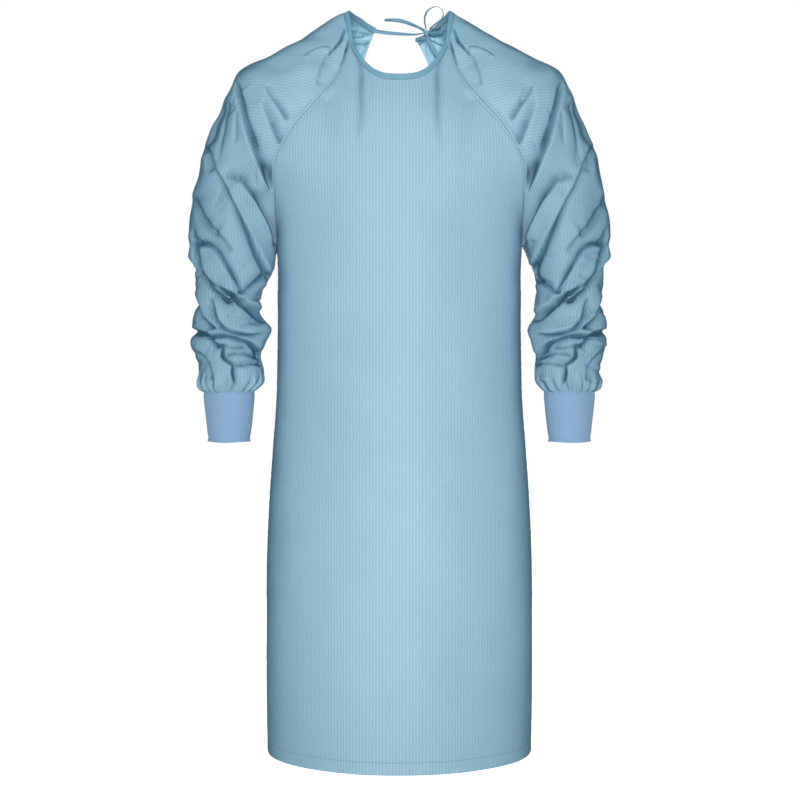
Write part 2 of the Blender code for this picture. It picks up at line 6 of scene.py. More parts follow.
import bmesh
import bpy
import numpy as np
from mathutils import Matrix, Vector


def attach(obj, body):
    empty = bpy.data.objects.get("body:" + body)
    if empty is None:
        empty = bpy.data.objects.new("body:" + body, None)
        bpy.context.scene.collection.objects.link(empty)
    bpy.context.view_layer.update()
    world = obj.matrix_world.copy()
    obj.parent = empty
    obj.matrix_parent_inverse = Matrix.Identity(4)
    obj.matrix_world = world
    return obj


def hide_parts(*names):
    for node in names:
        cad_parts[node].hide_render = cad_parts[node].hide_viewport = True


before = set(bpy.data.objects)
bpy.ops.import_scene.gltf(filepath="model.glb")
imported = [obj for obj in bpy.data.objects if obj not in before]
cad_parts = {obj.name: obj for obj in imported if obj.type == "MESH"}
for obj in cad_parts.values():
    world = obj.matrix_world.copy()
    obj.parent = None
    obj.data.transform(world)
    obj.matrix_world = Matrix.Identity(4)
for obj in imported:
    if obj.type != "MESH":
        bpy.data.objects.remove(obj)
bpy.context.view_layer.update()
mm = 0.001
print("frame loaded:", len(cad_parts), "nodes")

# ---- camera, from the place and angle of the photograph

photoView = {"place": (0.00115, -2.834, -0.5288), "tilt": 2.0, "lens": 78.6}


def addCamera(view):
    data = bpy.data.cameras.new("photoCamera")
    data.lens = view["lens"]
    camera = bpy.data.objects.new("photoCamera", data)
    camera.location = view["place"]
    camera.rotation_euler = (math.radians(90 - view["tilt"]), 0, 0)
    bpy.context.scene.collection.objects.link(camera)
    bpy.context.scene.camera = camera


addCamera(photoView)

# ---- curves and grids


def smoothRows(rows, at):
    # Catmull-Rom curve through the table's rows: p = h00*start + h10*leave + h01*end + h11*arrive
    rows = np.asarray(rows, float)
    at = np.clip(np.asarray(at, float), 0, len(rows) - 1)
    first = np.minimum(at.astype(int), len(rows) - 2)
    t = (at - first)[..., None]
    slopes = np.gradient(rows, axis=0)
    leave, arrive = slopes[first], slopes[first + 1]
    start, end = rows[first], rows[first + 1]
    return (
        (2 * t**3 - 3 * t**2 + 1) * start + (t**3 - 2 * t**2 + t) * leave
        + (3 * t**2 - 2 * t**3) * end + (t**3 - t**2) * arrive
    )


def smoothStep(x):
    # 3x^2 - 2x^3 between 0 and 1
    x = np.clip(x, 0, 1)
    return x * x * (3 - 2 * x)


def unit(vectors):
    return vectors / np.maximum(np.linalg.norm(vectors, axis=-1, keepdims=True), 1e-12)


def gridNormals(points):
    # cross product of the grid's two directions
    return unit(np.cross(np.gradient(points, axis=0), np.gradient(points, axis=1)))


def lengthAlong(points, axis):
    # running length of the grid's lines in one direction, from its first row or column
    steps = np.linalg.norm(np.diff(points, axis=axis), axis=-1)
    zeros = np.zeros_like(steps.take([0], axis=axis))
    return np.concatenate([zeros, steps.cumsum(axis=axis)], axis=axis)


def softNoise(points, wavelength, seed, waves=14):
    # sum of cos(k.p + phase) over random directions, about -1 to 1, with waves near one length
    random = np.random.default_rng(seed)
    directions = unit(random.normal(size=(waves, 3)))
    lengths = wavelength * random.uniform(0.7, 1.5, waves)
    phases = random.uniform(0, 2 * math.pi, waves)
    total = 0
    for direction, length, phase in zip(directions, lengths, phases):
        total = total + np.cos(points @ direction * 2 * math.pi / length + phase)
    return total / math.sqrt(waves)


# ---- the cut of the gown

# rows from the neck to the armpit: front_x, front_y, front_z, outer_x, outer_z, back_x, back_y, back_z,
# mid_y, front_depth, back_depth, roundness
cut = {
    "yoke": (
        (74.0, -42, -58, 81.5, 0, 62.0, 48, -5, 0, 42, 48, 0.35),
        (99.0, -70, -115, 120.4, -22, 86.0, 86, -60, 0, 70, 86, 0.70),
        (123.5, -88, -148, 165.5, -50, 113.0, 104, -105, 0, 88, 104, 1.00),
        (145.5, -97, -174, 214.5, -76, 139.0, 111, -145, 0, 97, 111, 1.00),
        (162.3, -99, -194, 256.0, -97, 161.0, 111, -184, 0, 100, 112, 1.00),
        (187.8, -94, -234, 273.5, -127, 182.0, 104, -230, 0, 97, 107, 1.00),
        (197.4, -82, -262, 289.0, -160, 192.0, 90, -265, 0, 92, 98, 1.00),
        (197.7, -58, -300, 309.9, -208, 196.0, 66, -302, 2, 84, 88, 1.00),
        (197.5, -28, -340, 327.7, -273, 197.2, 36, -341, 3, 76, 80, 1.00),
        (197.4, 5, -372, 341.0, -346, 197.4, 5, -372, 5, 70, 72, 1.00),
    ),
    "backSeamTopRight": (62.0, 48, -14),  # the tie pulls the right back corner down
    # the sleeve below the armpit: inner_left, inner_right, inner_z, outer_x, outer_z, mid_y, front_depth, back_depth
    "arm": (
        (199.5, 204.5, -390, 337.5, -377, 3, 67, 68),
        (203.0, 217.0, -417, 332.5, -406, 0, 63, 63),
        (219.0, 222.0, -445, 329.5, -438, -3, 60, 58),
        (228.5, 222.5, -467, 327.0, -468, -7, 57, 55),
        (223.5, 219.5, -490, 333.0, -496, -11, 56, 54),
        (206.0, 206.5, -513, 330.5, -516, -14, 57, 54),
        (214.0, 213.0, -532, 334.5, -533, -17, 56, 53),
        (223.0, 219.5, -555, 329.5, -554, -20, 53, 51),
        (218.0, 217.5, -577, 321.5, -577, -22, 51, 49),
        (218.0, 219.0, -596, 324.0, -596, -24, 49, 47),
        (227.0, 227.0, -607, 320.5, -607, -26, 43, 43),
        (233.7, 233.7, -614, 312.9, -614, -27, 36.6, 36.6),
    ),
    # the panels beside the yoke: centre_z, front_depth, back_depth, opening_left, opening_right
    "bodyYoke": (
        (-117, 100, 86, 39, 29), (-150, 110, 100, 57, 49), (-178, 117, 112, 69, 63), (-202, 122, 120, 77, 73),
        (-220, 125, 124, 82, 80), (-252, 129, 127, 86, 85), (-278, 131, 128, 88, 88), (-310, 133, 128, 89, 89),
        (-344, 134, 128, 89, 89), (-372, 135, 128, 89, 89),
    ),
    # the panels below the armpit: z, half_width, front_depth, back_depth, opening
    "side": (
        (-415, 195.5, 135, 127, 89), (-470, 194.5, 137, 127, 88), (-560, 196.0, 140, 128, 86),
        (-630, 198.5, 144, 130, 85), (-727, 206.2, 151, 134, 83), (-792, 210.8, 155, 138, 82),
        (-889, 215.0, 161, 142, 80), (-1054, 216.5, 168, 147, 78), (-1200, 215.0, 171, 151, 76),
    ),
    "sideSeamY": 5,
    "neckSweep": 2.9,  # how square the front neckline's curve is
    "openingTopLeft": (-16, -62),
    "openingTopRight": (-34, -74),
}
armpitRow = len(cut["yoke"]) - 1
cuffRow = armpitRow + len(cut["arm"])
hemRow = armpitRow + len(cut["side"])


def yokeRows(side):
    rows = [list(row) for row in cut["yoke"]]
    if side > 0:
        rows[0][5:8] = cut["backSeamTopRight"]
    return rows


def sleeveColumns(at, side):
    # the sleeve's table at these row numbers, in metres, one array for each column
    rows = yokeRows(side)
    for innerLeft, innerRight, innerZ, outerX, outerZ, midY, front, back in cut["arm"]:
        inner = [innerLeft if side < 0 else innerRight, midY, innerZ]
        rows.append([*inner, outerX, outerZ, *inner, midY, front, back, 1.0])
    return np.moveaxis(smoothRows(rows, at), -1, 0) * mm


def bodyColumns(at, side):
    rows = [[*yoke[0:3], *yoke[5:8], *body] for yoke, body in zip(yokeRows(side), cut["bodyYoke"])]
    for z, halfWidth, front, back, opening in cut["side"]:
        edge = [halfWidth, cut["sideSeamY"], z]
        rows.append([*edge, *edge, z, front, back, opening, opening])
    return np.moveaxis(smoothRows(rows, at), -1, 0) * mm


def sleevePoints(at, around, side):
    # Each half row is an arc of an ellipse from the seam point over to the outer point:
    # x, z = edge + (outer - edge)*(cos a - cos t)/(cos a + 1), y = mid + depth*sin t, t from a to pi
    frontX, frontY, frontZ, outerX, outerZ, backX, backY, backZ, midY, front, back, round_ = sleeveColumns(at, side)
    isFront = around <= 0.5
    share = np.where(isFront, around * 2, (1 - around) * 2)
    edgeX = np.where(isFront, frontX, backX)
    edgeY = np.where(isFront, frontY, backY)
    edgeZ = np.where(isFront, frontZ, backZ)
    depth = np.where(isFront, -front, back)
    start = np.arcsin(np.clip((edgeY - midY) / depth, 0, 1))
    turn = start + (math.pi - start) * share
    roundness = round_ / mm
    across = (np.cos(start) - np.cos(turn)) / (np.cos(start) + 1)
    across = roundness * across + (1 - roundness) * share
    y = roundness * (midY + depth * np.sin(turn)) + (1 - roundness) * (edgeY + (midY - edgeY) * share)
    return np.stack([edgeX + (outerX - edgeX) * across, y, edgeZ + (outerZ - edgeZ) * across], axis=-1)


def frontPoints(at, across):
    # x = width*sin(e*across)/sin e, y = seam - depth*cos(e*across), z = centre + (edge - centre)*|x/width|^sweep
    frontX, frontY, frontZ, _, _, _, centreZ, frontDepth, _, _, _ = bodyColumns(at, -1)
    seamY = cut["sideSeamY"] * mm
    depth = seamY + frontDepth
    edgeTurn = np.arccos(np.clip((seamY - frontY) / depth, 0, 1))
    turn = edgeTurn * across
    x = frontX * np.sin(turn) / np.sin(edgeTurn)
    z = centreZ + (frontZ - centreZ) * np.abs(x / frontX) ** cut["neckSweep"]
    return np.stack([x, seamY - depth * np.cos(turn), z], axis=-1)


def backPoints(at, across, side):
    # x = width*sin t, y = seam + depth*cos t, t from the seam's angle to the opening's
    _, _, _, backX, backY, backZ, _, _, backDepth, openLeft, openRight = bodyColumns(at, side)
    seamY = cut["sideSeamY"] * mm
    depth = backDepth - seamY
    edgeTurn = np.arccos(np.clip((backY - seamY) / depth, 0, 1))
    width = backX / np.sin(edgeTurn)
    openTurn = np.arcsin(np.clip((openLeft if side < 0 else openRight) / width, 0, 1))
    turn = edgeTurn + (openTurn - edgeTurn) * across
    top = cut["openingTopLeft"] if side < 0 else cut["openingTopRight"]
    seam = yokeRows(side)
    drop = np.interp(at, (0, 1, 2), (top[0] - seam[0][7], top[1] - seam[1][7], 0)) * mm
    return np.stack([width * np.sin(turn), seamY + depth * np.cos(turn), backZ + drop * across], axis=-1)


# ---- creases

# Each crease is depth, swell, width of its deep side, width of its swelling side, which side swells (1 is left of
# the way the line runs, seen from the front on the wearer's left sleeve), and its line as x, z pairs.
sleeveCreases = {
    "front": {
        "shoulderCrease": ((9, 22), (0.5, 6), (2.5, 13), 5, 1, ((262, -118), (258, -131), (253, -149), (246, -174),
            (239, -195), (232, -217), (225, -238), (216, -260), (207, -281), (199, -300))),
        "seamTroughUpper": ((4, 9), 1.5, (7, 6), 6, 1, ((209, -128), (201, -147), (188.5, -164), (172, -192))),
        "seamTroughLower": ((4, 13), 2, (8, 7), 6, 1, ((214, -152), (207.7, -170.5), (199.5, -191), (191.6, -210),
            (184, -230))),
        "neckCrease": (4, 2, 2.5, 4, 1, ((85, -28), (89, -42), (93, -55), (99, -64), (106, -74), (113, -82))),
        "neckNick": (4, 1.5, 3, 4, 1, ((78, -50), (83, -69), (87, -85), (92, -104))),
        "neckHollow": (4, 0, 9, 9, 1, ((112, -76), (116, -90), (122, -108), (127, -134))),
        "neckRidge": (-2.5, 0, 5, 5, 1, ((108, -72), (122, -70), (138, -76), (150, -86))),
        "outerHollowA": (3, 0.6, 7, 8, 1, ((272, -150), (277, -175), (283, -215), (286, -254))),
        "outerHollowB": (2.5, 0.8, 6, 7, 1, ((255, -168), (256, -190), (258, -224))),
        "outerShade": (8, 0, 17, 15, 1, ((282, -140), (294, -176), (303, -210), (306, -240), (298, -268))),
        "longCrease": (9, 4, (4, 6), 5, -1, ((322, -206), (312, -222), (302.5, -237.5), (287, -267), (278, -285),
            (269, -302), (260, -320), (251, -338), (243, -355), (232, -378), (222, -400), (211, -425), (200, -450))),
        "armpitCrease": (12, 5, (8, 6), 6, 1, ((276, -270), (266, -274), (255, -278), (246, -281), (236, -294),
            (225, -308), (217, -323), (208, -344), (202, -366), (200, -384))),
        "outerFacet": (5, 1, 12, 10, -1, ((344, -292), (329, -316), (307, -347), (280, -373), (262, -395))),
        "lowShade": (9, 0, 15, 12, 1, ((334, -296), (322, -330), (304, -352), (286, -366))),
        "elbowDome": (9, 4, 5, 7, 1, ((332, -370), (318, -377), (308, -378), (294, -384), (284, -394), (271, -415),
            (260, -433), (247, -455))),
        "edgeCrease": (7, 3, 4, 5, 1, ((334, -350), (327, -370), (321, -386), (309, -423), (300, -436), (284, -452))),
        "elbowFold": (21, 8, 3.5, 6, -1, ((347, -386), (330, -405), (318, -421), (307, -435), (295, -450),
            (282, -459), (271, -467), (258, -468))),
        "innerFold": (20, 8, 3.5, 7, -1, ((292, -442), (276, -454), (266, -459), (254, -468), (244, -477),
            (232, -485), (214, -501))),
        "innerCrease": (7, 3, 5, 6, 1, ((258, -457), (249, -453), (232, -442), (210, -427))),
        "forearmHollow": (10, 3, 6, 8, -1, ((302, -462), (296, -478), (292, -492), (284, -506), (271, -516),
            (253, -521), (236, -524), (210, -522))),
        "outerNick": (10, 4, 4, 6, -1, ((336, -452), (324, -471), (316, -490), (306, -501), (288, -515))),
        "forearmCrease": (9, 4, 4, 6, -1, ((344, -513), (327, -517), (311, -520), (300, -526), (294, -534),
            (280, -546))),
        "wristCrease": (10, 3, 5, 7, -1, ((308, -526), (286, -523), (268, -524), (251, -530), (233, -539),
            (218, -563))),
        "zigzag": (8, 3, 3.5, 5, 1, ((284, -536), (279, -545), (279, -557), (270, -565), (263, -570), (263, -584),
            (257, -606))),
        "lowBandA": (4, 1, 5, 6, 1, ((292, -536), (276, -540), (257, -543), (240, -542))),
        "lowBandB": (4, 1, 5, 6, 1, ((276, -556), (257, -552), (240, -554), (216, -562))),
        "lowBandC": (4, 1, 5, 6, 1, ((264, -571), (247, -569), (230, -568), (214, -570))),
        "lowOuter": (6, 2, 4, 6, -1, ((332, -546), (314, -556), (302, -572), (297, -598))),
    },
    "back": {
        "shoulderCrease": (11, 4, 14, 8, 1, ((258, -120), (250, -152), (242, -200), (228, -240), (214, -280),
            (198, -330))),
        "seamTrough": (7, 1, 10, 9, 1, ((210, -146), (198, -185), (182, -224))),
        "outerHollow": (5, 1, 11, 11, 1, ((272, -160), (280, -210), (284, -250))),
        "longCrease": (11, 4, 13, 7, -1, ((328, -236), (314, -262), (296, -300), (272, -340), (246, -378),
            (216, -414))),
        "armpitCrease": (10, 4, 12, 8, 1, ((272, -288), (248, -298), (228, -322), (214, -350), (204, -378))),
        "elbowFold": (15, 5, 9, 8, -1, ((344, -404), (326, -424), (300, -446), (270, -458), (240, -472), (214, -494))),
        "elbowDome": (8, 3, 10, 9, 1, ((328, -360), (300, -376), (276, -398), (258, -428))),
        "edgeCrease": (9, 3, 7, 7, -1, ((338, -442), (318, -468), (296, -484), (268, -490))),
        "forearmHollow": (11, 3, 9, 9, -1, ((340, -484), (318, -502), (286, -515), (248, -518), (210, -510))),
        "wristCrease": (9, 3, 7, 7, -1, ((338, -532), (312, -546), (278, -558), (240, -556), (214, -546))),
        "lowCrease": (7, 2, 6, 6, 1, ((302, -554), (292, -576), (282, -600))),
        "lowBand": (6, 1, 6, 7, -1, ((276, -580), (252, -582), (220, -574))),
    },
}
# Soft upright troughs below the front neckline, the same on each side, and drape down the panel's sides
frontCreases = {
    "neckTrough": ((8, 3), 1, 7, 20, -1, ((70, -56), (66, -84), (64, -108), (63, -140), (62, -180), (70, -245))),
    "seamTrough": ((7, 0), 0.4, 28, 60, -1, ((118, -136), (112, -190), (110, -270), (108, -400))),
    "armpitDrag": (-2.5, 0, 26, 70, 1, ((190, -290), (178, -330), (172, -400), (170, -480))),
    "sideDrape": (-2.2, 0, 30, 80, 1, ((184, -420), (176, -560), (170, -760), (166, -960))),
}
# Long soft folds down the back
backCreases = {
    -1: {
        "bladeFold": (8, 1.5, 22, 50, 1, ((126, -150), (130, -260), (132, -400), (128, -600))),
        "longFold": (8, 2, 26, 60, -1, ((160, -380), (156, -560), (150, -800), (146, -1150))),
        "lowFold": (6, 1.5, 20, 50, 1, ((112, -560), (108, -760), (110, -980), (112, -1260))),
    },
    1: {
        "bladeFold": (8, 1.5, 22, 50, 1, ((122, -160), (128, -270), (134, -400), (132, -620))),
        "longFold": (8, 2, 24, 55, -1, ((164, -360), (158, -560), (156, -820), (150, -1140))),
        "lowFold": (6, 1.5, 20, 50, 1, ((106, -600), (112, -800), (114, -1000), (110, -1260))),
    },
}
# Pleats that the ties pull from the back corners, over the back panels and on across the backs of the sleeves
neckPleats = {
    -1: {
        "upperPleat": (4, 1.5, 3, 3.5, 1, ((36, -20), (50, -17), (64, -13), (84, -8))),
        "middlePleat": (4.5, 1.6, 3, 3.5, 1, ((36, -24), (52, -23), (66, -22), (88, -22))),
        "crossCrease": (7, 2.5, 3.5, 4, 1, ((36, -36), (52, -36), (64, -37), (84, -39), (96, -44))),
        "lowPleat": (3, 1, 5, 4, -1, ((44, -28), (56, -46), (66, -60), (78, -84))),
        "sidePleat": (4, 1.4, 3.5, 4, -1, ((56, -30), (70, -30), (82, -32), (96, -36))),
    },
    1: {
        "upperPleat": (4.4, 1.8, 4, 3.5, 1, ((34, -34), (46, -29), (58, -21), (72, -16), (88, -16))),
        "middlePleat": (4.6, 1.8, 4, 3.5, -1, ((38, -29), (53, -32), (65, -39), (78, -46), (90, -57))),
        "lowPleat": (5, 2, 5, 4, -1, ((38, -26), (50, -36), (57, -46), (63, -60), (66, -86))),
        "edgePleat": (3.4, 1.4, 4, 3.5, -1, ((41, -24), (44, -38), (46, -54), (54, -78))),
        "swirl": (3.4, 1.2, 3.5, 3.5, 1, ((64, -32), (68, -22), (76, -20), (81, -28), (75, -36))),
    },
}


def fromLine(plane, line):
    # signed distance from a bent line, above 0 on its left, and how far along it the nearest point is
    starts, runs = line[:-1], np.diff(line, axis=0)
    flat = plane[:, None]
    along = np.clip(((flat - starts) * runs).sum(axis=2) / (runs**2).sum(axis=1), 0, 1)
    away = flat - (starts + along[..., None] * runs)
    nearest = np.linalg.norm(away, axis=2).argmin(axis=1)
    pick = np.arange(len(nearest))
    run, away = runs[nearest], away[pick, nearest]
    left = np.sign(run[:, 0] * away[:, 1] - run[:, 1] * away[:, 0])
    return left * np.linalg.norm(away, axis=1), (nearest + along[pick, nearest]) / len(runs)


def creaseHeight(points, crease):
    # q is the distance from the line, above 0 on the side that swells:
    # height = -depth*exp(-(|q|/deep)^1.2) for q < 0, -depth*exp(-(q/(0.3s + 1))^2) + swell*(q/s)*exp(1 - q/s) above
    # Its painted shade, put into the cloth's colour, is 0.48*c*trough + c^2*exp(-(q/1.7)^2), where c = depth/(depth +
    # deep) is how closed it is.
    # A pair of numbers runs from the start of the line to its end.
    depth, swell, deepWidth, swellWidth, side, line = crease
    line = smoothRows(line, np.linspace(0, len(line) - 1, 6 * len(line)))
    plane = points[..., (0, 2)] / mm
    reach = 4 * max(np.max(deepWidth), np.max(swellWidth))
    near = ((plane > line.min(axis=0) - reach) & (plane < line.max(axis=0) + reach)).all(axis=-1)
    q, position = fromLine(plane[near], line)
    q = q * side
    depth, swell, deepWidth, swellWidth = (
        np.interp(position, (0, 1), value if isinstance(value, tuple) else (value, value))
        for value in (depth, swell, deepWidth, swellWidth)
    )
    uneven = 1 + 0.18 * np.cos(position * 9 + deepWidth) + 0.1 * np.cos(position * 23 + swellWidth)
    uneven = uneven * smoothStep(np.minimum(position, 1 - position) * 8)
    size = np.abs(q)
    trough = np.where(q < 0, np.exp(-((size / deepWidth) ** 1.2)), np.exp(-((size / (0.3 * swellWidth + 1)) ** 2)))
    bulge = np.where(q > 0, size / swellWidth * np.exp(1 - size / swellWidth), 0)
    height, shade = np.zeros(points.shape[:-1]), np.zeros(points.shape[:-1])
    height[near] = (swell * bulge - depth * trough) * uneven * mm
    closed = np.abs(depth) / (np.abs(depth) + deepWidth)
    shade[near] = uneven * (0.48 * closed * trough + closed**2 * np.exp(-((q / 1.7) ** 2)))
    return height, shade


def allCreases(points, creases):
    made = [creaseHeight(points, crease) for crease in creases]
    return sum(height for height, _ in made), sum(shade for _, shade in made)


def scatterCreases(seed, count, box, slope):
    # short faint creases at random places in a box of x and z, most of them near one slope
    random = np.random.default_rng(seed)
    found = []
    for _ in range(count):
        x, z = random.uniform(box[0], box[1]), random.uniform(box[2], box[3])
        turn, half = math.radians(slope + random.normal() * 22), random.uniform(9, 26)
        bend = random.normal() * 4
        step = np.array([math.cos(turn), math.sin(turn)]) * half
        ends = np.array([[x, z] - step, [x + bend * math.sin(turn), z - bend * math.cos(turn)], [x, z] + step])
        depth, deepWidth, swellWidth = random.uniform(0.6, 1.7), random.uniform(4, 9), random.uniform(3, 6)
        found.append((depth, 0.5, deepWidth, swellWidth, random.choice([-1, 1]), ends))
    return found


# ---- meshes


def addCloth(name, points, clothUv, measures, thickness, flip, closedFrom=None):
    # one quad for each cell of the grid; from the row closedFrom on, the last column is the first one again.
    # The measures become point attributes for the materials: fromSeam and fromEdge in metres, and the shade painted
    # into the colour, from 0 to 1.
    # The woven cloth, 0.2 mm thick, is a single layer of faces.
    rows, columns = points.shape[:2]
    index = np.arange(rows * columns).reshape(rows, columns)
    corners = index.copy()
    if closedFrom is not None:
        corners[closedFrom:, -1] = corners[closedFrom:, 0]
    used, vertexOf = np.unique(corners, return_inverse=True)
    vertexOf = vertexOf.reshape(rows, columns)

    def quads(grid):
        cells = np.stack([grid[:-1, :-1], grid[:-1, 1:], grid[1:, 1:], grid[1:, :-1]], axis=-1).reshape(-1, 4)
        return cells[:, ::-1] if flip else cells

    mesh = bpy.data.meshes.new(name)
    mesh.from_pydata(points.reshape(-1, 3)[used], [], quads(vertexOf))
    uvMap = mesh.uv_layers.new(name="cloth")
    uvMap.data.foreach_set("uv", clothUv.reshape(-1, 2)[quads(index).ravel()].ravel().astype(np.float32))
    for label, values in measures.items():
        attribute = mesh.attributes.new(label, "FLOAT", "POINT")
        attribute.data.foreach_set("value", np.ascontiguousarray(values, dtype=np.float32).ravel()[used])
    mesh.shade_smooth()
    obj = bpy.data.objects.new(name, mesh)
    bpy.context.scene.collection.objects.link(obj)
    if thickness:
        wall = obj.modifiers.new("cloth wall", "SOLIDIFY")
        wall.thickness = thickness
        wall.offset = 0
    return obj


def closeMesh(obj, ends=(), count=0):
    # a flat face over each end of a carried section, or else doubled points joined; all faces turned outwards
    mesh = bmesh.new()
    mesh.from_mesh(obj.data)
    mesh.verts.ensure_lookup_table()
    for start in ends:
        mesh.faces.new([mesh.verts[start * count + i] for i in range(count)])
    if not ends:
        bmesh.ops.remove_doubles(mesh, verts=mesh.verts, dist=1e-6)
    bmesh.ops.recalc_face_normals(mesh, faces=mesh.faces)
    mesh.to_mesh(obj.data)
    mesh.free()


def flatSize(points):
    # the width, length and area that a piece was cut to, from the lengths of its grid's lines
    width = lengthAlong(points, 1)[:, -1].max()
    length = lengthAlong(points, 0)[-1].max()
    sides = np.cross(points[1:, :-1] - points[:-1, :-1], points[:-1, 1:] - points[:-1, :-1])
    return width, length, min(np.linalg.norm(sides, axis=-1).sum(), width * length)


def declareSheet(obj, node, points):
    width, length, area = flatSize(points)
    print(f"{obj.name}: cut {width:.3f} x {length:.3f} m, {area:.3f} square metres")
    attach(obj, "root")
    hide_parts(node)


def seamWelt(fromSeam, along, seed):
    # the turned-in cloth beside a seam: height*(d/3)*exp(1 - d/3), drawn up unevenly by its stitches
    random = np.random.default_rng(seed)
    phase = random.uniform(0, 6, 3)
    d = fromSeam / mm / 3.2
    pucker = 1 + 0.5 * np.sin(along / mm / 1.9 + phase[0]) * np.sin(along / mm / 7.3 + phase[1])
    return 0.7 * mm * d * np.exp(1 - d) * pucker


def belowBinding(base):
    # no relief where the tape holds the neck edge: smoothStep((down - 5 mm)/8 mm)
    return smoothStep((lengthAlong(base, 0) - 5 * mm) / (8 * mm))


# ---- panels

panel = {"neckRows": 60, "yokeRows": 100, "bodyRows": 175, "frontColumns": 120, "backColumns": 64, "swell": 0.7 * mm}


def rowSteps(look, belowRows, lastRow):
    # closer rows beside the neck, where the pleats are fine
    neck = np.linspace(0, 2, look["neckRows"] + 1)
    yoke = np.linspace(2, armpitRow, look["yokeRows"] + 1)[1:]
    return np.concatenate([neck, yoke, np.linspace(armpitRow, lastRow, belowRows + 1)[1:]])


panelSteps = rowSteps(panel, panel["bodyRows"], hemRow)


def makeFront():
    # points = base + outward*((creases + swell*noise + welt)*fades), the creases mirrored about the middle
    across = np.linspace(-1, 1, panel["frontColumns"] + 1)
    at, columns = np.meshgrid(panelSteps, across, indexing="ij")
    base = frontPoints(at, columns)
    lengths = lengthAlong(base, 1)
    middle = lengths[:, [panel["frontColumns"] // 2]]
    stripes = np.stack([lengths - middle, lengthAlong(base, 0)], axis=-1)
    fromSeam = np.minimum(lengths, lengths[:, -1:] - lengths)
    fromEdge = lengthAlong(base[::-1], 0)[::-1]
    mirrored = np.stack([np.abs(base[..., 0]), base[..., 1], base[..., 2]], axis=-1)
    # the creases, mirrored, and the shade painted in them
    height, paintedShade = allCreases(mirrored, frontCreases.values())
    # painted shade beside the arms: 0.2*exp(-(d/38 mm)^2)
    paintedShade += 0.2 * np.exp(-((fromSeam / (38 * mm)) ** 2)) * smoothStep((at - 6) / 4)
    height = height + panel["swell"] * softNoise(base, 0.11, 3) * smoothStep(fromSeam / 0.03)
    height = (height + seamWelt(fromSeam, stripes[..., 1], 1)) * smoothStep(fromSeam / 0.004) * belowBinding(base)
    points = base + gridNormals(base) * height[..., None]
    measures = {"fromSeam": fromSeam, "fromEdge": fromEdge, "paintedShade": paintedShade}
    obj = addCloth("frontPanelCloth", points, stripes, measures, 0, True)
    declareSheet(obj, "front_panel", base)
    return obj


def makeBack(side):
    # points = base + outward*((folds + pleats + swell*noise + welt)*fades)
    across = np.linspace(0, 1, panel["backColumns"] + 1)
    at, columns = np.meshgrid(panelSteps, across, indexing="ij")
    base = backPoints(at, columns, side)
    lengths = lengthAlong(base, 1)
    stripes = np.stack([lengths[:, -1:] - lengths, lengthAlong(base, 0)], axis=-1)
    fromEdge = np.minimum(lengths[:, -1:] - lengths, lengthAlong(base[::-1], 0)[::-1] - 0.01)
    pleatHeight, pleatShade = allCreases(base, neckPleats[side].values())
    height, paintedShade = allCreases(base, backCreases[side].values())
    fromOpening = smoothStep((lengths[:, -1:] - lengths) / 0.012)
    # the painted shade: a share of the folds' shade, and of the pleats' shade away from the opening
    height, paintedShade = height + pleatHeight * fromOpening, 0.35 * paintedShade + 0.6 * pleatShade * fromOpening
    height = height + panel["swell"] * softNoise(base, 0.1, 5 + side) * smoothStep(lengths / 0.03)
    height = (height + seamWelt(lengths, stripes[..., 1], 8 + side)) * smoothStep(lengths / 0.004) * belowBinding(base)
    outward = gridNormals(base)
    outward = outward * np.sign(outward[..., 1:2].mean())
    points = (base + outward * height[..., None]) * (side, 1, 1)
    name = "Right" if side > 0 else "Left"
    measures = {"fromSeam": lengths, "fromEdge": fromEdge, "paintedShade": paintedShade}
    obj = addCloth(f"backPanel{name}Cloth", points, stripes, measures, 0, side > 0)
    declareSheet(obj, f"back_panel_{name.lower()}", base)
    return obj


front = makeFront()
backs = [makeBack(-1), makeBack(1)]
print("panels made")

# ---- sleeves

sleeve = {
    "neckRows": 55, "yokeRows": 105, "armRows": 150, "frontColumns": 176, "backColumns": 122, "swell": 1.1 * mm,
    "gathers": 17, "gatherHeight": 2.1 * mm, "gatherRows": 3.2,
    # how near the outline the creases lose their depth, and how near a seam
    "outlineFade": 16 * mm, "seamFade": 10 * mm, "pleatFade": 3 * mm,
    # small creases: seed, count, box of x and z, slope in degrees
    "scattered": {
        "front": ((11, 26, (205, 335, -600, -380), -20), (31, 14, (190, 330, -380, -120), -60)),
        "back": ((51, 24, (205, 335, -600, -380), -25), (71, 14, (180, 330, -380, -120), -60)),
    },
    # far centres, so that the stripes run nearly straight, and what brings the two together at the crease
    "shoulderStripes": (492, -1587), "armStripes": (100, -375), "stripeShift": 1274 * mm,
}


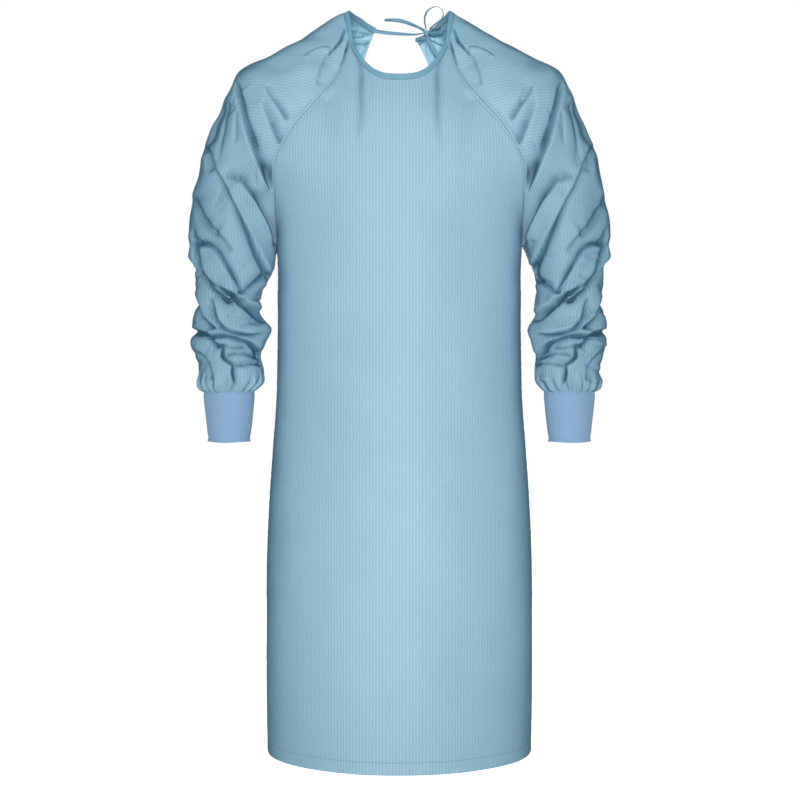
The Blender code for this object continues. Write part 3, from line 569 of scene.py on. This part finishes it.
def sleeveStripes(base, at):
    # The stripes run along the arm and turn at the shoulder crease to run across to the neck. Seen from the front
    # r is the distance from a centre: u = r + (s - d)*c, with s the length over the row from its seam, d the same
    # seen flat and c the slope of the row. The back mirrors it at the outer line. Below the armpit u is the length
    # round the sleeve.
    middle = sleeve["frontColumns"]
    flat = base[..., (0, 2)]
    lengths = lengthAlong(base, 1)

    def measured(centre, seamColumn):
        r = np.linalg.norm(flat - np.array(centre) * mm, axis=-1)
        s = np.abs(lengths - lengths[:, [seamColumn]])
        d = np.linalg.norm(flat - flat[:, [seamColumn]], axis=-1)
        reach = np.maximum(d[:, [middle]], 1e-9)
        return r + (s - d) * (r[:, [middle]] - r[:, [seamColumn]]) / reach

    def turned(half, seamColumn):
        line = np.array(sleeveCreases[half]["shoulderCrease"][-1])
        outside, _ = fromLine(flat.reshape(-1, 2) / mm, line)
        share = smoothStep(outside.reshape(at.shape) / 3 + 0.5)
        shoulder = measured(sleeve["shoulderStripes"], seamColumn) * 1.06 - sleeve["stripeShift"]
        arm = measured(sleeve["armStripes"], seamColumn)
        return shoulder + (arm - shoulder) * share

    front, back = turned("front", 0), turned("back", -1)
    across = np.where(np.arange(base.shape[1]) <= middle, front, front[:, [middle]] + back[:, [middle]] - back)
    below = across[sleeve["neckRows"] + sleeve["yokeRows"], middle] + lengths - lengths[:, [middle]]
    return np.stack([np.where(at > armpitRow, below, across), lengthAlong(base, 0)], axis=-1), lengths


def halfCreases(base, half, side):
    # the placed creases of the front or the back, and the small ones between them
    scattered = [crease for seed, *rest in sleeve["scattered"][half] for crease in scatterCreases(seed + side, *rest)]
    return allCreases(base, [*sleeveCreases[half].values(), *scattered])


def gatherHeight(at, columns, side):
    # waves round the sleeve above the cuff: cos(17 turns) + 0.5*cos(6 turns + 1) + 0.3*cos(29 turns + 2), high
    # in the middle of their rows: sin(2.75*share)^2. The second value is the share of these rows.
    share = np.clip((at - cuffRow + sleeve["gatherRows"]) / sleeve["gatherRows"], 0, 1)
    turns = 2 * math.pi * (columns + 0.011 * np.sin(2 * math.pi * 3 * columns + side))
    waves = np.cos(sleeve["gathers"] * turns) + 0.5 * np.cos(6 * turns + 1) + 0.3 * np.cos(29 * turns + 2)
    return sleeve["gatherHeight"] * waves * np.sin(share * 2.75) ** 2 * (share < 1), share


def makeSleeve(side):
    # points = base + outward*(((creases*outline fade + swell*noise)*cuff fade + gathers)*seam fade + pleats + welt)
    around = np.linspace(0, 0.5, sleeve["frontColumns"] + 1)
    around = np.concatenate([around, np.linspace(0.5, 1, sleeve["backColumns"] + 1)[1:]])
    at, columns = np.meshgrid(rowSteps(sleeve, sleeve["armRows"], cuffRow), around, indexing="ij")
    base = sleevePoints(at, columns, side)
    stripes, lengths = sleeveStripes(base, at)
    fromSeam = np.minimum(lengths, lengths[:, -1:] - lengths)
    isFront = smoothStep((0.57 - columns) / 0.12)
    frontHeight, frontShade = halfCreases(base, "front", side)
    backHeight, backShade = halfCreases(base, "back", side)
    pleatHeight, pleatShade = allCreases(base, neckPleats[side].values())
    # the painted shade of the creases and pleats, and more painted shade below the armpit, where the body shades the
    # sleeve
    paintedShade = 1.15 * (isFront * frontShade + (1 - isFront) * (backShade + 0.6 * pleatShade))
    paintedShade += 0.17 * smoothStep((at - 5) / 4)
    # the outline stays smooth above the elbow: the creases lose their depth as they come round to it
    outline = np.exp(-(((lengths - lengths[:, [sleeve["frontColumns"]]]) / sleeve["outlineFade"]) ** 2))
    height = isFront * frontHeight + (1 - isFront) * backHeight
    height = height * (1 - 0.85 * outline * smoothStep((armpitRow + 1.5 - at) / 2))
    height += sleeve["swell"] * softNoise(base, 0.05, 20 + side)
    gathers, share = gatherHeight(at, columns, side)
    height = height * (1 - 0.7 * smoothStep(share * 1.2 - 0.2)) + gathers
    height *= smoothStep(fromSeam / sleeve["seamFade"])
    height += (1 - isFront) * pleatHeight * smoothStep(fromSeam / sleeve["pleatFade"])
    height *= belowBinding(base)
    height += seamWelt(fromSeam, stripes[..., 1], 15 + side) * (at < armpitRow + 0.01)
    points = (base + gridNormals(base) * height[..., None]) * (side, 1, 1)
    name = "Right" if side > 0 else "Left"
    measures = {"fromSeam": fromSeam, "fromEdge": np.full(at.shape, 0.5), "paintedShade": paintedShade}
    closedFrom = sleeve["neckRows"] + sleeve["yokeRows"]
    obj = addCloth(f"sleeve{name}Cloth", points, stripes, measures, 0, side > 0, closedFrom)
    declareSheet(obj, f"sleeve_{name.lower()}", base)
    return obj


sleeves = [makeSleeve(-1), makeSleeve(1)]
print("sleeves made")

# ---- knitted cuffs

# rings: share of the height, half width and half depth; the last ones are the edge that rolls out
cuff = {
    "top": -0.6143, "bottom": -0.6930, "centre": ((273.3, -27), (273.4, -31)), "wall": 1.6 * mm,
    "rings": (
        (-0.03, 38.6, 35.6), (0.0, 39.4, 36.5), (0.05, 40.1, 37.2), (0.12, 40.0, 37.1), (0.30, 38.6, 36.2),
        (0.45, 37.3, 35.3), (0.65, 35.6, 34.1), (0.80, 34.2, 33.0), (0.93, 32.6, 31.8), (0.97, 33.1, 32.3),
        (0.99, 33.7, 32.9), (1.0, 33.5, 32.7),
    ),
    "rows": 60, "columns": 150,
}


def makeCuff(side):
    # ellipse rings, with the sleeve's gathers pressed into the top and fine waves of slack knit
    share = np.linspace(0, len(cuff["rings"]) - 1, cuff["rows"] + 1)
    turn = np.linspace(0, 2 * math.pi, cuff["columns"] + 1)
    rings = smoothRows(cuff["rings"], share)
    height, halfWidth, halfDepth = (rings[:, [i]] for i in range(3))
    fade = np.clip(1 - height * 4, 0, 1) ** 2
    slack = 0.35 * np.cos(17 * turn + 0.5) * fade + 0.22 * np.cos(5 * turn + 2 * height * 3) * np.sin(height * math.pi)
    (topX, topY), (bottomX, bottomY) = cuff["centre"]
    down = np.clip(height, 0, 1)
    x = topX + (bottomX - topX) * down + (halfWidth + slack) * np.cos(turn)
    y = topY + (bottomY - topY) * down + (halfDepth + slack) * np.sin(turn)
    z = (cuff["top"] + (cuff["bottom"] - cuff["top"]) * height) / mm + 0 * turn
    z = z + 0.5 * np.cos(3 * turn + 1) * np.clip(height * 1.5 - 0.5, 0, 1)
    points = np.stack([x * side, y, z], axis=-1) * mm
    lengths = lengthAlong(points, 1)
    knitUv = np.stack([lengths[20:21] + 0 * lengths, lengthAlong(points, 0)], axis=-1)
    fromEdge = lengthAlong(points[::-1], 0)[::-1]
    name = "Right" if side > 0 else "Left"
    obj = addCloth(f"cuff{name}Knit", points, knitUv, {"fromEdge": fromEdge}, cuff["wall"], side < 0, closedFrom=0)
    declareSheet(obj, f"cuff_{name.lower()}", points)
    return obj


cuffs = [makeCuff(-1), makeCuff(1)]
print("cuffs made")

# ---- binding round the neck

binding = {
    "width": 9.8 * mm, "half": 1.35 * mm, "tape": 0.5 * mm, "crown": 1.1 * mm, "columns": (40, 110, 130),
    "step": 1.2 * mm, "smoothed": 17,
}


def mitre(first, second):
    # direction half way between two, as long as a mitred corner needs
    return (first + second) / (1 + float(np.dot(first, second)))


def neckPiece(surface, columns, scale):
    # the neck edge of one piece, with the unit ways down the cloth, square up from the edge and out of it
    rows = np.linspace(0, 0.6, 40)
    at, across = np.meshgrid(rows, columns, indexing="ij")
    points = surface(at, across) * scale
    down = lengthAlong(points, 0)
    level = np.array([np.interp(binding["width"], down[:, i], rows) for i in range(len(columns))])
    edge = points[0]
    low = unit(surface(level, columns) * scale - edge)
    along = np.gradient(edge, axis=0)
    out = unit(np.cross(along, low))
    return edge, low, unit(np.cross(along, out)), out


def smoothStations(arrays):
    # evenly spaced along the edge, then averaged over a few stations so that the tape bends instead of breaking
    length = lengthAlong(arrays[0], 0)
    even = np.linspace(0, length[-1], int(length[-1] / binding["step"]))
    arrays = [np.stack([np.interp(even, length, a[:, i]) for i in range(3)], axis=-1) for a in arrays]
    kernel = np.hanning(binding["smoothed"])
    kernel /= kernel.sum()
    half = len(kernel) // 2
    smoothed = []
    for a in arrays:
        # past each end the line goes on as its own point reflection, so the ends stay where they are
        before, after = 2 * a[0] - a[half:0:-1], 2 * a[-1] - a[-2:-half - 2:-1]
        padded = np.concatenate([before, a, after])
        smoothed.append(np.stack([np.convolve(padded[:, i], kernel, "valid") for i in range(3)], axis=-1))
    return smoothed


def makeBinding():
    backColumns, sleeveColumns_, frontColumns = (np.linspace(0, 1, n) for n in binding["columns"])
    pieces = [
        neckPiece(lambda at, c: backPoints(at, c, -1), backColumns[::-1], (-1, 1, 1)),
        neckPiece(lambda at, c: sleevePoints(at, c, -1), sleeveColumns_[::-1], (-1, 1, 1)),
        neckPiece(frontPoints, frontColumns * 2 - 1, (1, 1, 1)),
        neckPiece(lambda at, c: sleevePoints(at, c, 1), sleeveColumns_, (1, 1, 1)),
        neckPiece(lambda at, c: backPoints(at, c, 1), backColumns, (1, 1, 1)),
    ]
    stations = [[array[0]] for array in pieces[0]]
    for piece in pieces:
        joined = [mitre(stations[i][-1], piece[i][0]) if i else piece[0][0] for i in range(4)]
        for i in range(4):
            stations[i][-1] = joined[i]
            stations[i].extend(piece[i][1:])
    edge, low, high, out = smoothStations([np.array(s) for s in stations])
    # the section: a tape folded over the edge, down one face, round the fold and back down the other
    half, width, crown = binding["half"], binding["width"], binding["crown"]
    turn = np.linspace(0, math.pi, 9)
    leg, bulge = width * np.array([1, 0.94, 0.5, 0.12]), half * np.array([0.6, 0.95, 1.05, 1.02])
    down = np.concatenate([leg, 0 * turn, leg[::-1]])
    up = np.concatenate([np.zeros(4), crown * np.sin(turn), np.zeros(4)])
    side = np.concatenate([bulge, half * np.cos(turn), -bulge[::-1]])
    along = lengthAlong(edge, 0)[:, None]
    ripple = 1 + 0.05 * np.cos(along / mm / 2.6) + 0.04 * np.cos(along / mm / 6.1 + 1)
    inset = 1 - binding["tape"] / half
    outerSide = side * ripple
    outerFace = (down + 0 * along, up + 0 * along, outerSide)
    innerFace = (down[::-1] + 0 * along, up[::-1] * 0.6 + 0 * along, outerSide[:, ::-1] * inset)
    down, up, side = (np.concatenate(pair, axis=1)[..., None] for pair in zip(outerFace, innerFace))
    points = edge[:, None] + down * low[:, None] + up * high[:, None] + side * out[:, None]
    points = np.concatenate([points, points[:, :1]], axis=1)
    across = lengthAlong(points, 1)
    bandUv = np.stack([along + 0 * across, across], axis=-1)
    down = down[..., 0]
    fromEdge = np.concatenate([width - down, width - down[:, :1]], axis=1)
    obj = addCloth("neckBindingTape", points, bandUv, {"fromEdge": fromEdge}, 0, False, closedFrom=0)
    closeMesh(obj, (0, len(edge) - 1), points.shape[1] - 1)
    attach(obj, "root")
    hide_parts("neck_binding")
    return obj


neckBinding = makeBinding()
print("binding made")

# ---- ties and bow

# routes: x, y, z and how far the tape is turned, in degrees; at 0 its face is to the front, at 90 its edge is
bow = {
    "width": 6.8 * mm, "thickness": 1.2 * mm, "knotCentre": (44.9, 59.5, -25.7), "knotSize": (9.8, 7.6, 10.2),
    "tieLeft": (
        (-42.6, 73.2, -19.6, 12), (-38.7, 73.5, -20.1, 12), (-24, 74.4, -22.3, 18), (-4, 73.6, -24.4, 28),
        (12, 70, -26, 42), (26, 65.4, -27.2, 58), (39.8, 60.0, -26.0, 66),
    ),
    "tieRight": ((27.2, 76.8, -34.6, 8), (31.2, 70.8, -34.0, 8), (35.6, 64.4, -33.2, 8), (40.2, 58.6, -32.4, 8)),
    "loopUp": (
        (44.2, 59, -19.2, 80), (41.8, 61.4, -6, 74), (43.4, 65, 5.5, 66), (47.7, 67, 12.9, 66),
        (56.0, 68, 18.2, 74), (63.7, 68, 18.2, 82), (70.0, 67.5, 14.0, 84), (72.4, 66.5, 6.8, 82),
        (70.6, 65.6, 0, 80), (65.6, 63, -5.6, 80), (56.5, 59, -13, 80), (49.6, 56, -20.0, 80),
    ),
    "loopSide": (
        (50.0, 55.0, -22.6, 62), (55.4, 47.5, -20.4, 52), (63.5, 40.5, -19.2, 42), (69.6, 31.5, -19.6, 34),
        (71.4, 25.5, -23.6, 30), (68, 29.5, -29, 34), (61.5, 38.0, -30.4, 44), (55, 46.5, -30.2, 54),
        (49.9, 54.6, -29.2, 62),
    ),
    "endLeft": (
        (41.7, 61.0, -21.8, 58), (33.7, 65.6, -16.4, 62), (24.5, 69, -11.6, 56), (12.5, 71, -6.4, 34),
        (1.2, 72, -3.4, 28), (-12.2, 73, -2.0, 44), (-24.5, 73, -2.2, 66),
    ),
    "endLow": (
        (46.0, 58.6, -31.0, 40), (48.6, 56, -39.2, 20), (53, 56, -46.9, 12), (58.6, 57, -56.0, 10),
        (63.6, 58, -63.3, 14),
    ),
}


def makeTape(name, route, steps, node):
    # a rounded flat section carried along the route: point + wide*a*cos t + thin*b*sin t*|sin t|^-0.4
    rows = smoothRows(route, np.linspace(0, len(route) - 1, steps))
    line, turned = rows[:, :3] * mm, np.radians(rows[:, 3:4])
    forward = unit(np.gradient(line, axis=0))
    upright = unit(np.cross(forward, (0, 1.0, 0)))
    level = np.cross(upright, forward)
    wide = upright * np.cos(turned) + level * np.sin(turned)
    thin = np.cross(forward, wide)
    turn = np.linspace(0, 2 * math.pi, 17)
    corner = np.abs(np.sin(turn)) ** 0.6 * np.sign(np.sin(turn))
    flat = np.abs(np.cos(turn)) ** 0.6 * np.sign(np.cos(turn))
    along = lengthAlong(line, 0)[:, None]
    cup = 0.25 * mm * (1 - flat**2)
    across = flat * bow["width"] / 2 * (1 + 0.03 * np.cos(along / mm / 3.7))
    through = corner * bow["thickness"] / 2 + cup
    points = line[:, None] + wide[:, None] * across[..., None] + thin[:, None] * through[None, :, None]
    width = (flat + 1) / 2 * bow["width"]
    tapeUv = np.stack([along + 0 * turn, width + 0 * along], axis=-1)
    fromEdge = np.minimum(width, bow["width"] - width) + 0 * along
    obj = addCloth(name, points, tapeUv, {"fromEdge": fromEdge}, 0, False, closedFrom=0)
    closeMesh(obj, (0, steps - 1), 16)
    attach(obj, "root")
    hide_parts(node)
    return obj, line, float(along[-1, 0])


def makeKnot():
    # an ellipsoid whose radius swells where the tape wraps it: r = 1 + 0.10*cos(2u + 3v) + 0.06*cos(u - 5v)
    v, u = np.meshgrid(np.linspace(-math.pi / 2, math.pi / 2, 33), np.linspace(0, 2 * math.pi, 49), indexing="ij")
    fade = np.cos(v)
    radius = 0.5 * (1 + (0.10 * np.cos(2 * u + 3 * v) + 0.06 * np.cos(u - 5 * v)) * fade)
    shape = np.stack([np.cos(v) * np.cos(u), np.cos(v) * np.sin(u), np.sin(v)], axis=-1) * radius[..., None]
    points = (shape * bow["knotSize"] + bow["knotCentre"]) * mm
    knotUv = np.stack([u * 4.5 * mm, v * 4.5 * mm], axis=-1)
    obj = addCloth("bowKnot", points, knotUv, {"fromEdge": u * 0 + 0.05}, 0, False, closedFrom=0)
    closeMesh(obj)
    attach(obj, "root")
    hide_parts("bow_knot")
    return obj


def makeBow():
    knot = makeKnot()
    strap, _, _ = makeTape("tieRightTape", bow["tieRight"], 20, "neck_tie_right")
    lowEnd, _, _ = makeTape("tieEndLowTape", bow["endLow"], 40, "tie_end_low")
    made = [knot, strap, lowEnd]
    ends = (
        ("tieLeftTape", "tieLeft", 60, "neck_tie_left", "knot", [knot, strap, lowEnd]),
        ("bowLoopUpTape", "loopUp", 110, "bow_loop_up", "object", []),
        ("bowLoopSideTape", "loopSide", 90, "bow_loop_side", "object", []),
        ("tieEndLeftTape", "endLeft", 60, "tie_end_left", "bare", []),
    )
    for name, route, steps, node, farEnd, withPieces in ends:
        tape, line, length = makeTape(name, bow[route], steps, node)
        print(f"{name}: {length:.3f} m")
        made.append(tape)
    return made


bowPieces = makeBow()
print("bow made")

# ---- materials


def toLinear(hexColour):
    # sRGB hex to linear: c/12.92 up to 0.04045, ((c + 0.055)/1.055)^2.4 above
    values = [int(hexColour[i:i + 2], 16) / 255 for i in (1, 3, 5)]
    return [*(c / 12.92 if c <= 0.04045 else ((c + 0.055) / 1.055) ** 2.4 for c in values), 1]


def addNode(tree, kind, inputs=None, **settings):
    # adds a node, sets its properties, and gives each named input a value or a link
    node = tree.nodes.new(kind)
    for name, value in settings.items():
        setattr(node, name, value)
    for key, value in (inputs or {}).items():
        if isinstance(value, bpy.types.NodeSocket):
            tree.links.new(value, node.inputs[key])
        else:
            node.inputs[key].default_value = value
    return node


def mathNode(tree, operation, *values, **settings):
    return addNode(tree, "ShaderNodeMath", dict(enumerate(values)), operation=operation, **settings).outputs[0]


def rangeNode(tree, value, low, high, first, last, curve="LINEAR"):
    # first at low, last at high
    inputs = {0: value, 1: low, 2: high, 3: first, 4: last}
    return addNode(tree, "ShaderNodeMapRange", inputs, interpolation_type=curve).outputs[0]


def noiseNode(tree, place, scale, **inputs):
    return addNode(tree, "ShaderNodeTexNoise", {"Vector": place, "Scale": scale, **inputs}).outputs[0]


def mixNode(tree, share, first, second):
    inputs = {"Factor": share, 6: first, 7: second}
    return addNode(tree, "ShaderNodeMix", inputs, data_type="RGBA").outputs[2]


def bands(tree, value, spacing):
    # distance to the nearest of the lines that are this far apart
    return mathNode(tree, "PINGPONG", value, spacing / 2)


def stitchGroove(tree, label, distance, width):
    # 1 in the middle of a line that runs at this distance from a seam or an edge, 0 beside it
    measure = addNode(tree, "ShaderNodeAttribute", attribute_name=label).outputs["Fac"]
    away = mathNode(tree, "ABSOLUTE", mathNode(tree, "SUBTRACT", measure, distance))
    return rangeNode(tree, away, 0.0, width, 1.0, 0.0, "SMOOTHSTEP")


def stitchLength(tree, along, spacing, gap):
    # 1 in a stitch and gap between two
    return rangeNode(tree, bands(tree, along, spacing), 0.15 * mm, 0.5 * mm, gap, 1.0)


def addRelief(tree, relief, *layers):
    # each layer's value times its height in millimetres, added up
    for value, height in layers:
        relief = mathNode(tree, "MULTIPLY_ADD", value, height, relief)
    return addNode(tree, "ShaderNodeBump", {"Height": relief, "Distance": mm, "Strength": 1.0}).outputs[0]


def newMaterial(name, sockets):
    # the values that are the same all over are set on the shader itself
    material = bpy.data.materials.new(name)
    material.use_nodes = True
    tree = material.node_tree
    shader = tree.nodes["Principled BSDF"]
    for socket, value in sockets.items():
        shader.inputs[socket].default_value = value
    return material, tree, shader


def clothPlace(tree):
    # the flat cloth's two directions and the place in the object, all in metres
    uv = addNode(tree, "ShaderNodeUVMap", uv_map="cloth").outputs["UV"]
    split = addNode(tree, "ShaderNodeSeparateXYZ", {0: uv}).outputs
    return uv, split["X"], split["Y"], addNode(tree, "ShaderNodeTexCoord").outputs["Object"]


wovenCloth = {
    # fold is the dark blue that the painted shade mixes in
    "light": "#a6ccdf", "dark": "#99c1d4", "fold": "#38738f", "inner": "#b4e4fa", "roughness": 0.46,
    "pitch": 5.15 * mm, "thread": 1.3 * mm, "seamStitch": 5 * mm, "hemStitch": 20 * mm, "stitch": 3 * mm,
    "sockets": {"IOR": 1.45, "Specular IOR Level": 0.2, "Sheen Weight": 0.06, "Sheen Roughness": 0.45},
}


def makeWovenCloth(look):
    # Woven polyester with fine stripes: crisp and smooth, with a slight silky sheen. The stripes are about 5 mm
    # apart. Its real threads, 0.2 mm, are too fine to show and are drawn 1.3 mm apart.
    material, tree, shader = newMaterial("wovenPolyester", look["sockets"])
    uv, across, _, place = clothPlace(tree)
    pitch, roughness = look["pitch"], look["roughness"]
    line = rangeNode(tree, bands(tree, across, pitch), pitch * 0.10, pitch * 0.26, 1.0, 0.0, "SMOOTHSTEP")
    slubPlace = addNode(tree, "ShaderNodeMapping", {"Vector": uv, "Scale": (900, 45, 1)}).outputs[0]
    slub = noiseNode(tree, slubPlace, 1.0, Detail=2.0)
    tone = noiseNode(tree, place, 7.0, Detail=3.0, Roughness=0.55)
    # the inner face is painted paler and bluer, a painted light for the light inside, and its stripes hardly show
    inside = addNode(tree, "ShaderNodeNewGeometry").outputs["Backfacing"]
    striped = mathNode(tree, "MULTIPLY", line, rangeNode(tree, inside, 0.0, 1.0, 1.0, 0.3))
    ground = mixNode(tree, inside, toLinear(look["light"]), toLinear(look["inner"]))
    colour = mixNode(tree, striped, ground, toLinear(look["dark"]))
    # uneven threads and an uneven dye lighten and darken it by up to 5% and 3.5%
    threads, dye = rangeNode(tree, slub, 0.25, 0.75, 0.95, 1.05), rangeNode(tree, tone, 0.25, 0.75, 0.965, 1.035)
    value = mathNode(tree, "MULTIPLY", threads, dye)
    toned = addNode(tree, "ShaderNodeHueSaturation", {"Value": value, "Color": colour}).outputs[0]
    # stitches 3 mm long beside the seams and along the hem
    diagonal = addNode(tree, "ShaderNodeVectorMath", {0: uv, 1: (1, 1, 0)}, operation="DOT_PRODUCT").outputs["Value"]
    stitches = stitchLength(tree, diagonal, look["stitch"], 0.35)
    beside, hem = (
        mathNode(tree, "MULTIPLY", stitchGroove(tree, label, look[distance], 1.1 * mm), stitches)
        for label, distance in (("fromSeam", "seamStitch"), ("fromEdge", "hemStitch"))
    )
    stitched = mathNode(tree, "MAXIMUM", beside, hem)
    shade = rangeNode(tree, stitched, 0.0, 1.0, 1.0, 0.86)
    final = addNode(tree, "ShaderNodeHueSaturation", {"Value": shade, "Color": toned}).outputs[0]
    # painted shade: the colour goes to a dark blue in the painted shade of the folds, along each seam, and where the
    # cloth is seen at a low angle, a painted dark line along the outline and the steep sides of the folds
    paintedShadeAttribute, fromSeam = (
        addNode(tree, "ShaderNodeAttribute", attribute_name=label).outputs["Fac"] for label in ("paintedShade", "fromSeam")
    )
    closed = rangeNode(tree, paintedShadeAttribute, 0.04, 0.9, 0.0, 0.9)
    paintedSeamShade = rangeNode(tree, fromSeam, 0.0, 1.6 * mm, 0.5, 0.0)
    facing = addNode(tree, "ShaderNodeLayerWeight", {"Blend": 0.5}).outputs["Facing"]
    paintedOutlineShade = rangeNode(tree, facing, 0.42, 0.98, 0.0, 0.8, "SMOOTHSTEP")
    dark = mathNode(tree, "ADD", mathNode(tree, "MAXIMUM", closed, paintedSeamShade), paintedOutlineShade, use_clamp=True)
    # threads, stripe cords, soft crumple, stitches and slubs
    crossing = addNode(tree, "ShaderNodeMapping", {"Vector": uv, "Scale": (1 / look["thread"],) * 3}).outputs[0]
    weave = addNode(tree, "ShaderNodeTexChecker", {"Vector": crossing, "Scale": 1.0}).outputs["Fac"]
    crumple = noiseNode(tree, place, 24.0, Detail=3.0, Roughness=0.5)
    bump = addRelief(
        tree, mathNode(tree, "MULTIPLY", weave, 0.035), (line, 0.05), (crumple, 1.1), (stitched, -0.45), (slub, 0.06)
    )
    gloss = rangeNode(tree, slub, 0.2, 0.8, roughness - 0.05, roughness + 0.07)
    # the base colour, mixed towards the dark blue by the painted shade
    tree.links.new(mixNode(tree, dark, final, toLinear(look["fold"])), shader.inputs["Base Color"])
    tree.links.new(gloss, shader.inputs["Roughness"])
    tree.links.new(bump, shader.inputs["Normal"])
    return material


knitCloth = {
    "light": "#9fc2e3", "dark": "#7fa5cb", "wale": 1.5 * mm, "course": 1.2 * mm,
    "sockets": {"Roughness": 0.85, "Specular IOR Level": 0.2, "Sheen Weight": 0.3},
}


def makeKnitCloth(look):
    # Polyester rib knit, doubled: matt, softer and bluer than the cloth, with fine upright wales. Real wales are
    # about 0.8 mm apart and are drawn at 1.5 mm so that they show.
    material, tree, shader = newMaterial("ribKnit", look["sockets"])
    _, across, along, place = clothPlace(tree)
    wale = bands(tree, across, look["wale"])
    waleShare = rangeNode(tree, wale, 0.0, look["wale"] / 2, 0.0, 1.0, "SMOOTHSTEP")
    course = bands(tree, mathNode(tree, "MULTIPLY_ADD", wale, 0.8, along), look["course"])
    courseShare = rangeNode(tree, course, 0.0, look["course"] / 2, 0.0, 1.0)
    loops = mathNode(tree, "MULTIPLY_ADD", courseShare, 0.35, waleShare)
    tone, fuzz = noiseNode(tree, place, 60.0, Detail=3.0), noiseNode(tree, place, 900.0, Detail=1.0)
    share = rangeNode(tree, mathNode(tree, "MULTIPLY_ADD", tone, 0.5, waleShare), 0.1, 1.1, 0.55, 0.0)
    colour = mixNode(tree, share, toLinear(look["light"]), toLinear(look["dark"]))
    bump = addRelief(tree, mathNode(tree, "MULTIPLY", loops, 0.16), (fuzz, 0.08), (tone, 0.4))
    tree.links.new(colour, shader.inputs["Base Color"])
    tree.links.new(bump, shader.inputs["Normal"])
    return material


bindingTape = {
    "light": "#86b8cf", "dark": "#6fa3bc", "rib": 1 * mm, "stitchLine": 1.6 * mm, "stitch": 2.8 * mm,
    "sockets": {"Roughness": 0.5, "Specular IOR Level": 0.35, "Sheen Weight": 0.1},
}


def makeBindingTape(look):
    # Folded polyester tape, pressed and stitched along its edge: a little darker and closer woven than the cloth.
    material, tree, shader = newMaterial("foldedTape", look["sockets"])
    _, across, _, place = clothPlace(tree)
    tone = noiseNode(tree, place, 70.0, Detail=4.0, Roughness=0.6)
    ribShare = rangeNode(tree, bands(tree, across, look["rib"]), 0.0, look["rib"] / 2, 0.0, 1.0)
    groove = stitchGroove(tree, "fromEdge", look["stitchLine"], 0.8 * mm)
    stitched = mathNode(tree, "MULTIPLY", groove, stitchLength(tree, across, look["stitch"], 0.3))
    share = rangeNode(tree, mathNode(tree, "MULTIPLY_ADD", stitched, 0.6, tone), 0.3, 1.1, 0.0, 1.0)
    colour = mixNode(tree, share, toLinear(look["light"]), toLinear(look["dark"]))
    bump = addRelief(tree, mathNode(tree, "MULTIPLY", ribShare, 0.08), (stitched, -0.35), (tone, 0.5))
    tree.links.new(colour, shader.inputs["Base Color"])
    tree.links.new(bump, shader.inputs["Normal"])
    return material


cloth, knit, tape = makeWovenCloth(wovenCloth), makeKnitCloth(knitCloth), makeBindingTape(bindingTape)
for pieces, material, slot in (
    ([front, *backs, *sleeves], cloth, "cloth"), (cuffs, knit, "knit"), ([neckBinding, *bowPieces], tape, "binding"),
):
    for piece in pieces:
        piece.data.materials.clear()
        piece.data.materials.append(material)
print("materials made")

# ---- floor and light

studio = {
    "floorHeight": -1.6, "floorRadius": 14, "floorGlow": 1.0, "behind": 1.0,
    "ambient": 0.24, "ambientTint": (0.4, 0.93, 1.15, 1),
    "key": {
        "place": (0.0, -4.4, -0.6), "target": (0, 0, -0.5), "size": (1.0, 1.9), "spread": 18, "power": 5.5,
        "colour": (1.0, 0.89, 0.845),
    },
    "back": {
        "place": (0.0, 4.4, -0.4), "target": (0, 0, -0.55), "size": (1.6, 1.6), "spread": 180, "power": 90,
        "colour": (1.0, 0.96, 0.94),
    },
}


def makeFloor(look):
    # disc: r*cos t, r*sin t
    turn = np.linspace(0, 2 * math.pi, 97)[:-1]
    ring = np.stack([np.cos(turn), np.sin(turn), 0 * turn], axis=-1) * look["floorRadius"]
    mesh = bpy.data.meshes.new("studioFloor")
    mesh.from_pydata(ring + (0, 0, look["floorHeight"]), [], [list(range(96))])
    floor = bpy.data.objects.new("studioFloor", mesh)
    bpy.context.scene.collection.objects.link(floor)
    # Painted board: matt and near white, lit evenly as a photographer lights a backdrop
    sockets = {"Emission Color": (1, 1, 1, 1), "Roughness": 0.9, "Specular IOR Level": 0.1}
    material, tree, shader = newMaterial("paintedFloor", sockets)
    seen = addNode(tree, "ShaderNodeLightPath").outputs["Is Camera Ray"]
    glow = mathNode(tree, "MULTIPLY", seen, look["floorGlow"])
    speck = noiseNode(tree, addNode(tree, "ShaderNodeTexCoord").outputs["Object"], 3.0)
    shade = rangeNode(tree, speck, 0.0, 1.0, 0.86, 0.9)
    grey = addNode(tree, "ShaderNodeCombineColor", {0: shade, 1: shade, 2: shade}).outputs[0]
    tree.links.new(grey, shader.inputs["Base Color"])
    tree.links.new(glow, shader.inputs["Emission Strength"])
    mesh.materials.append(material)


def addSoftbox(name, look):
    data = bpy.data.lights.new(name, "AREA")
    data.shape = "RECTANGLE"
    data.size, data.size_y = look["size"]
    data.energy = look["power"]
    data.color = look["colour"]
    data.spread = math.radians(look["spread"])
    light = bpy.data.objects.new(name, data)
    bpy.context.scene.collection.objects.link(light)
    light.location = look["place"]
    aim = Vector(look["target"]) - Vector(look["place"])
    light.rotation_euler = aim.to_track_quat("-Z", "Y").to_euler()


def makeWorld(look):
    world = bpy.data.worlds.new("studio")
    world.use_nodes = True
    tree = world.node_tree
    seen = addNode(tree, "ShaderNodeLightPath").outputs["Is Camera Ray"]
    strength = mathNode(tree, "MULTIPLY_ADD", seen, look["behind"] - look["ambient"], look["ambient"])
    background = tree.nodes["Background"]
    tree.links.new(mixNode(tree, seen, look["ambientTint"], (1, 1, 1, 1)), background.inputs["Color"])
    tree.links.new(strength, background.inputs["Strength"])
    bpy.context.scene.world = world


makeFloor(studio)
makeWorld(studio)
addSoftbox("frontSoftbox", studio["key"])
addSoftbox("backSoftbox", studio["back"])
bpy.context.scene.view_settings.view_transform = "Standard"
print("studio made")
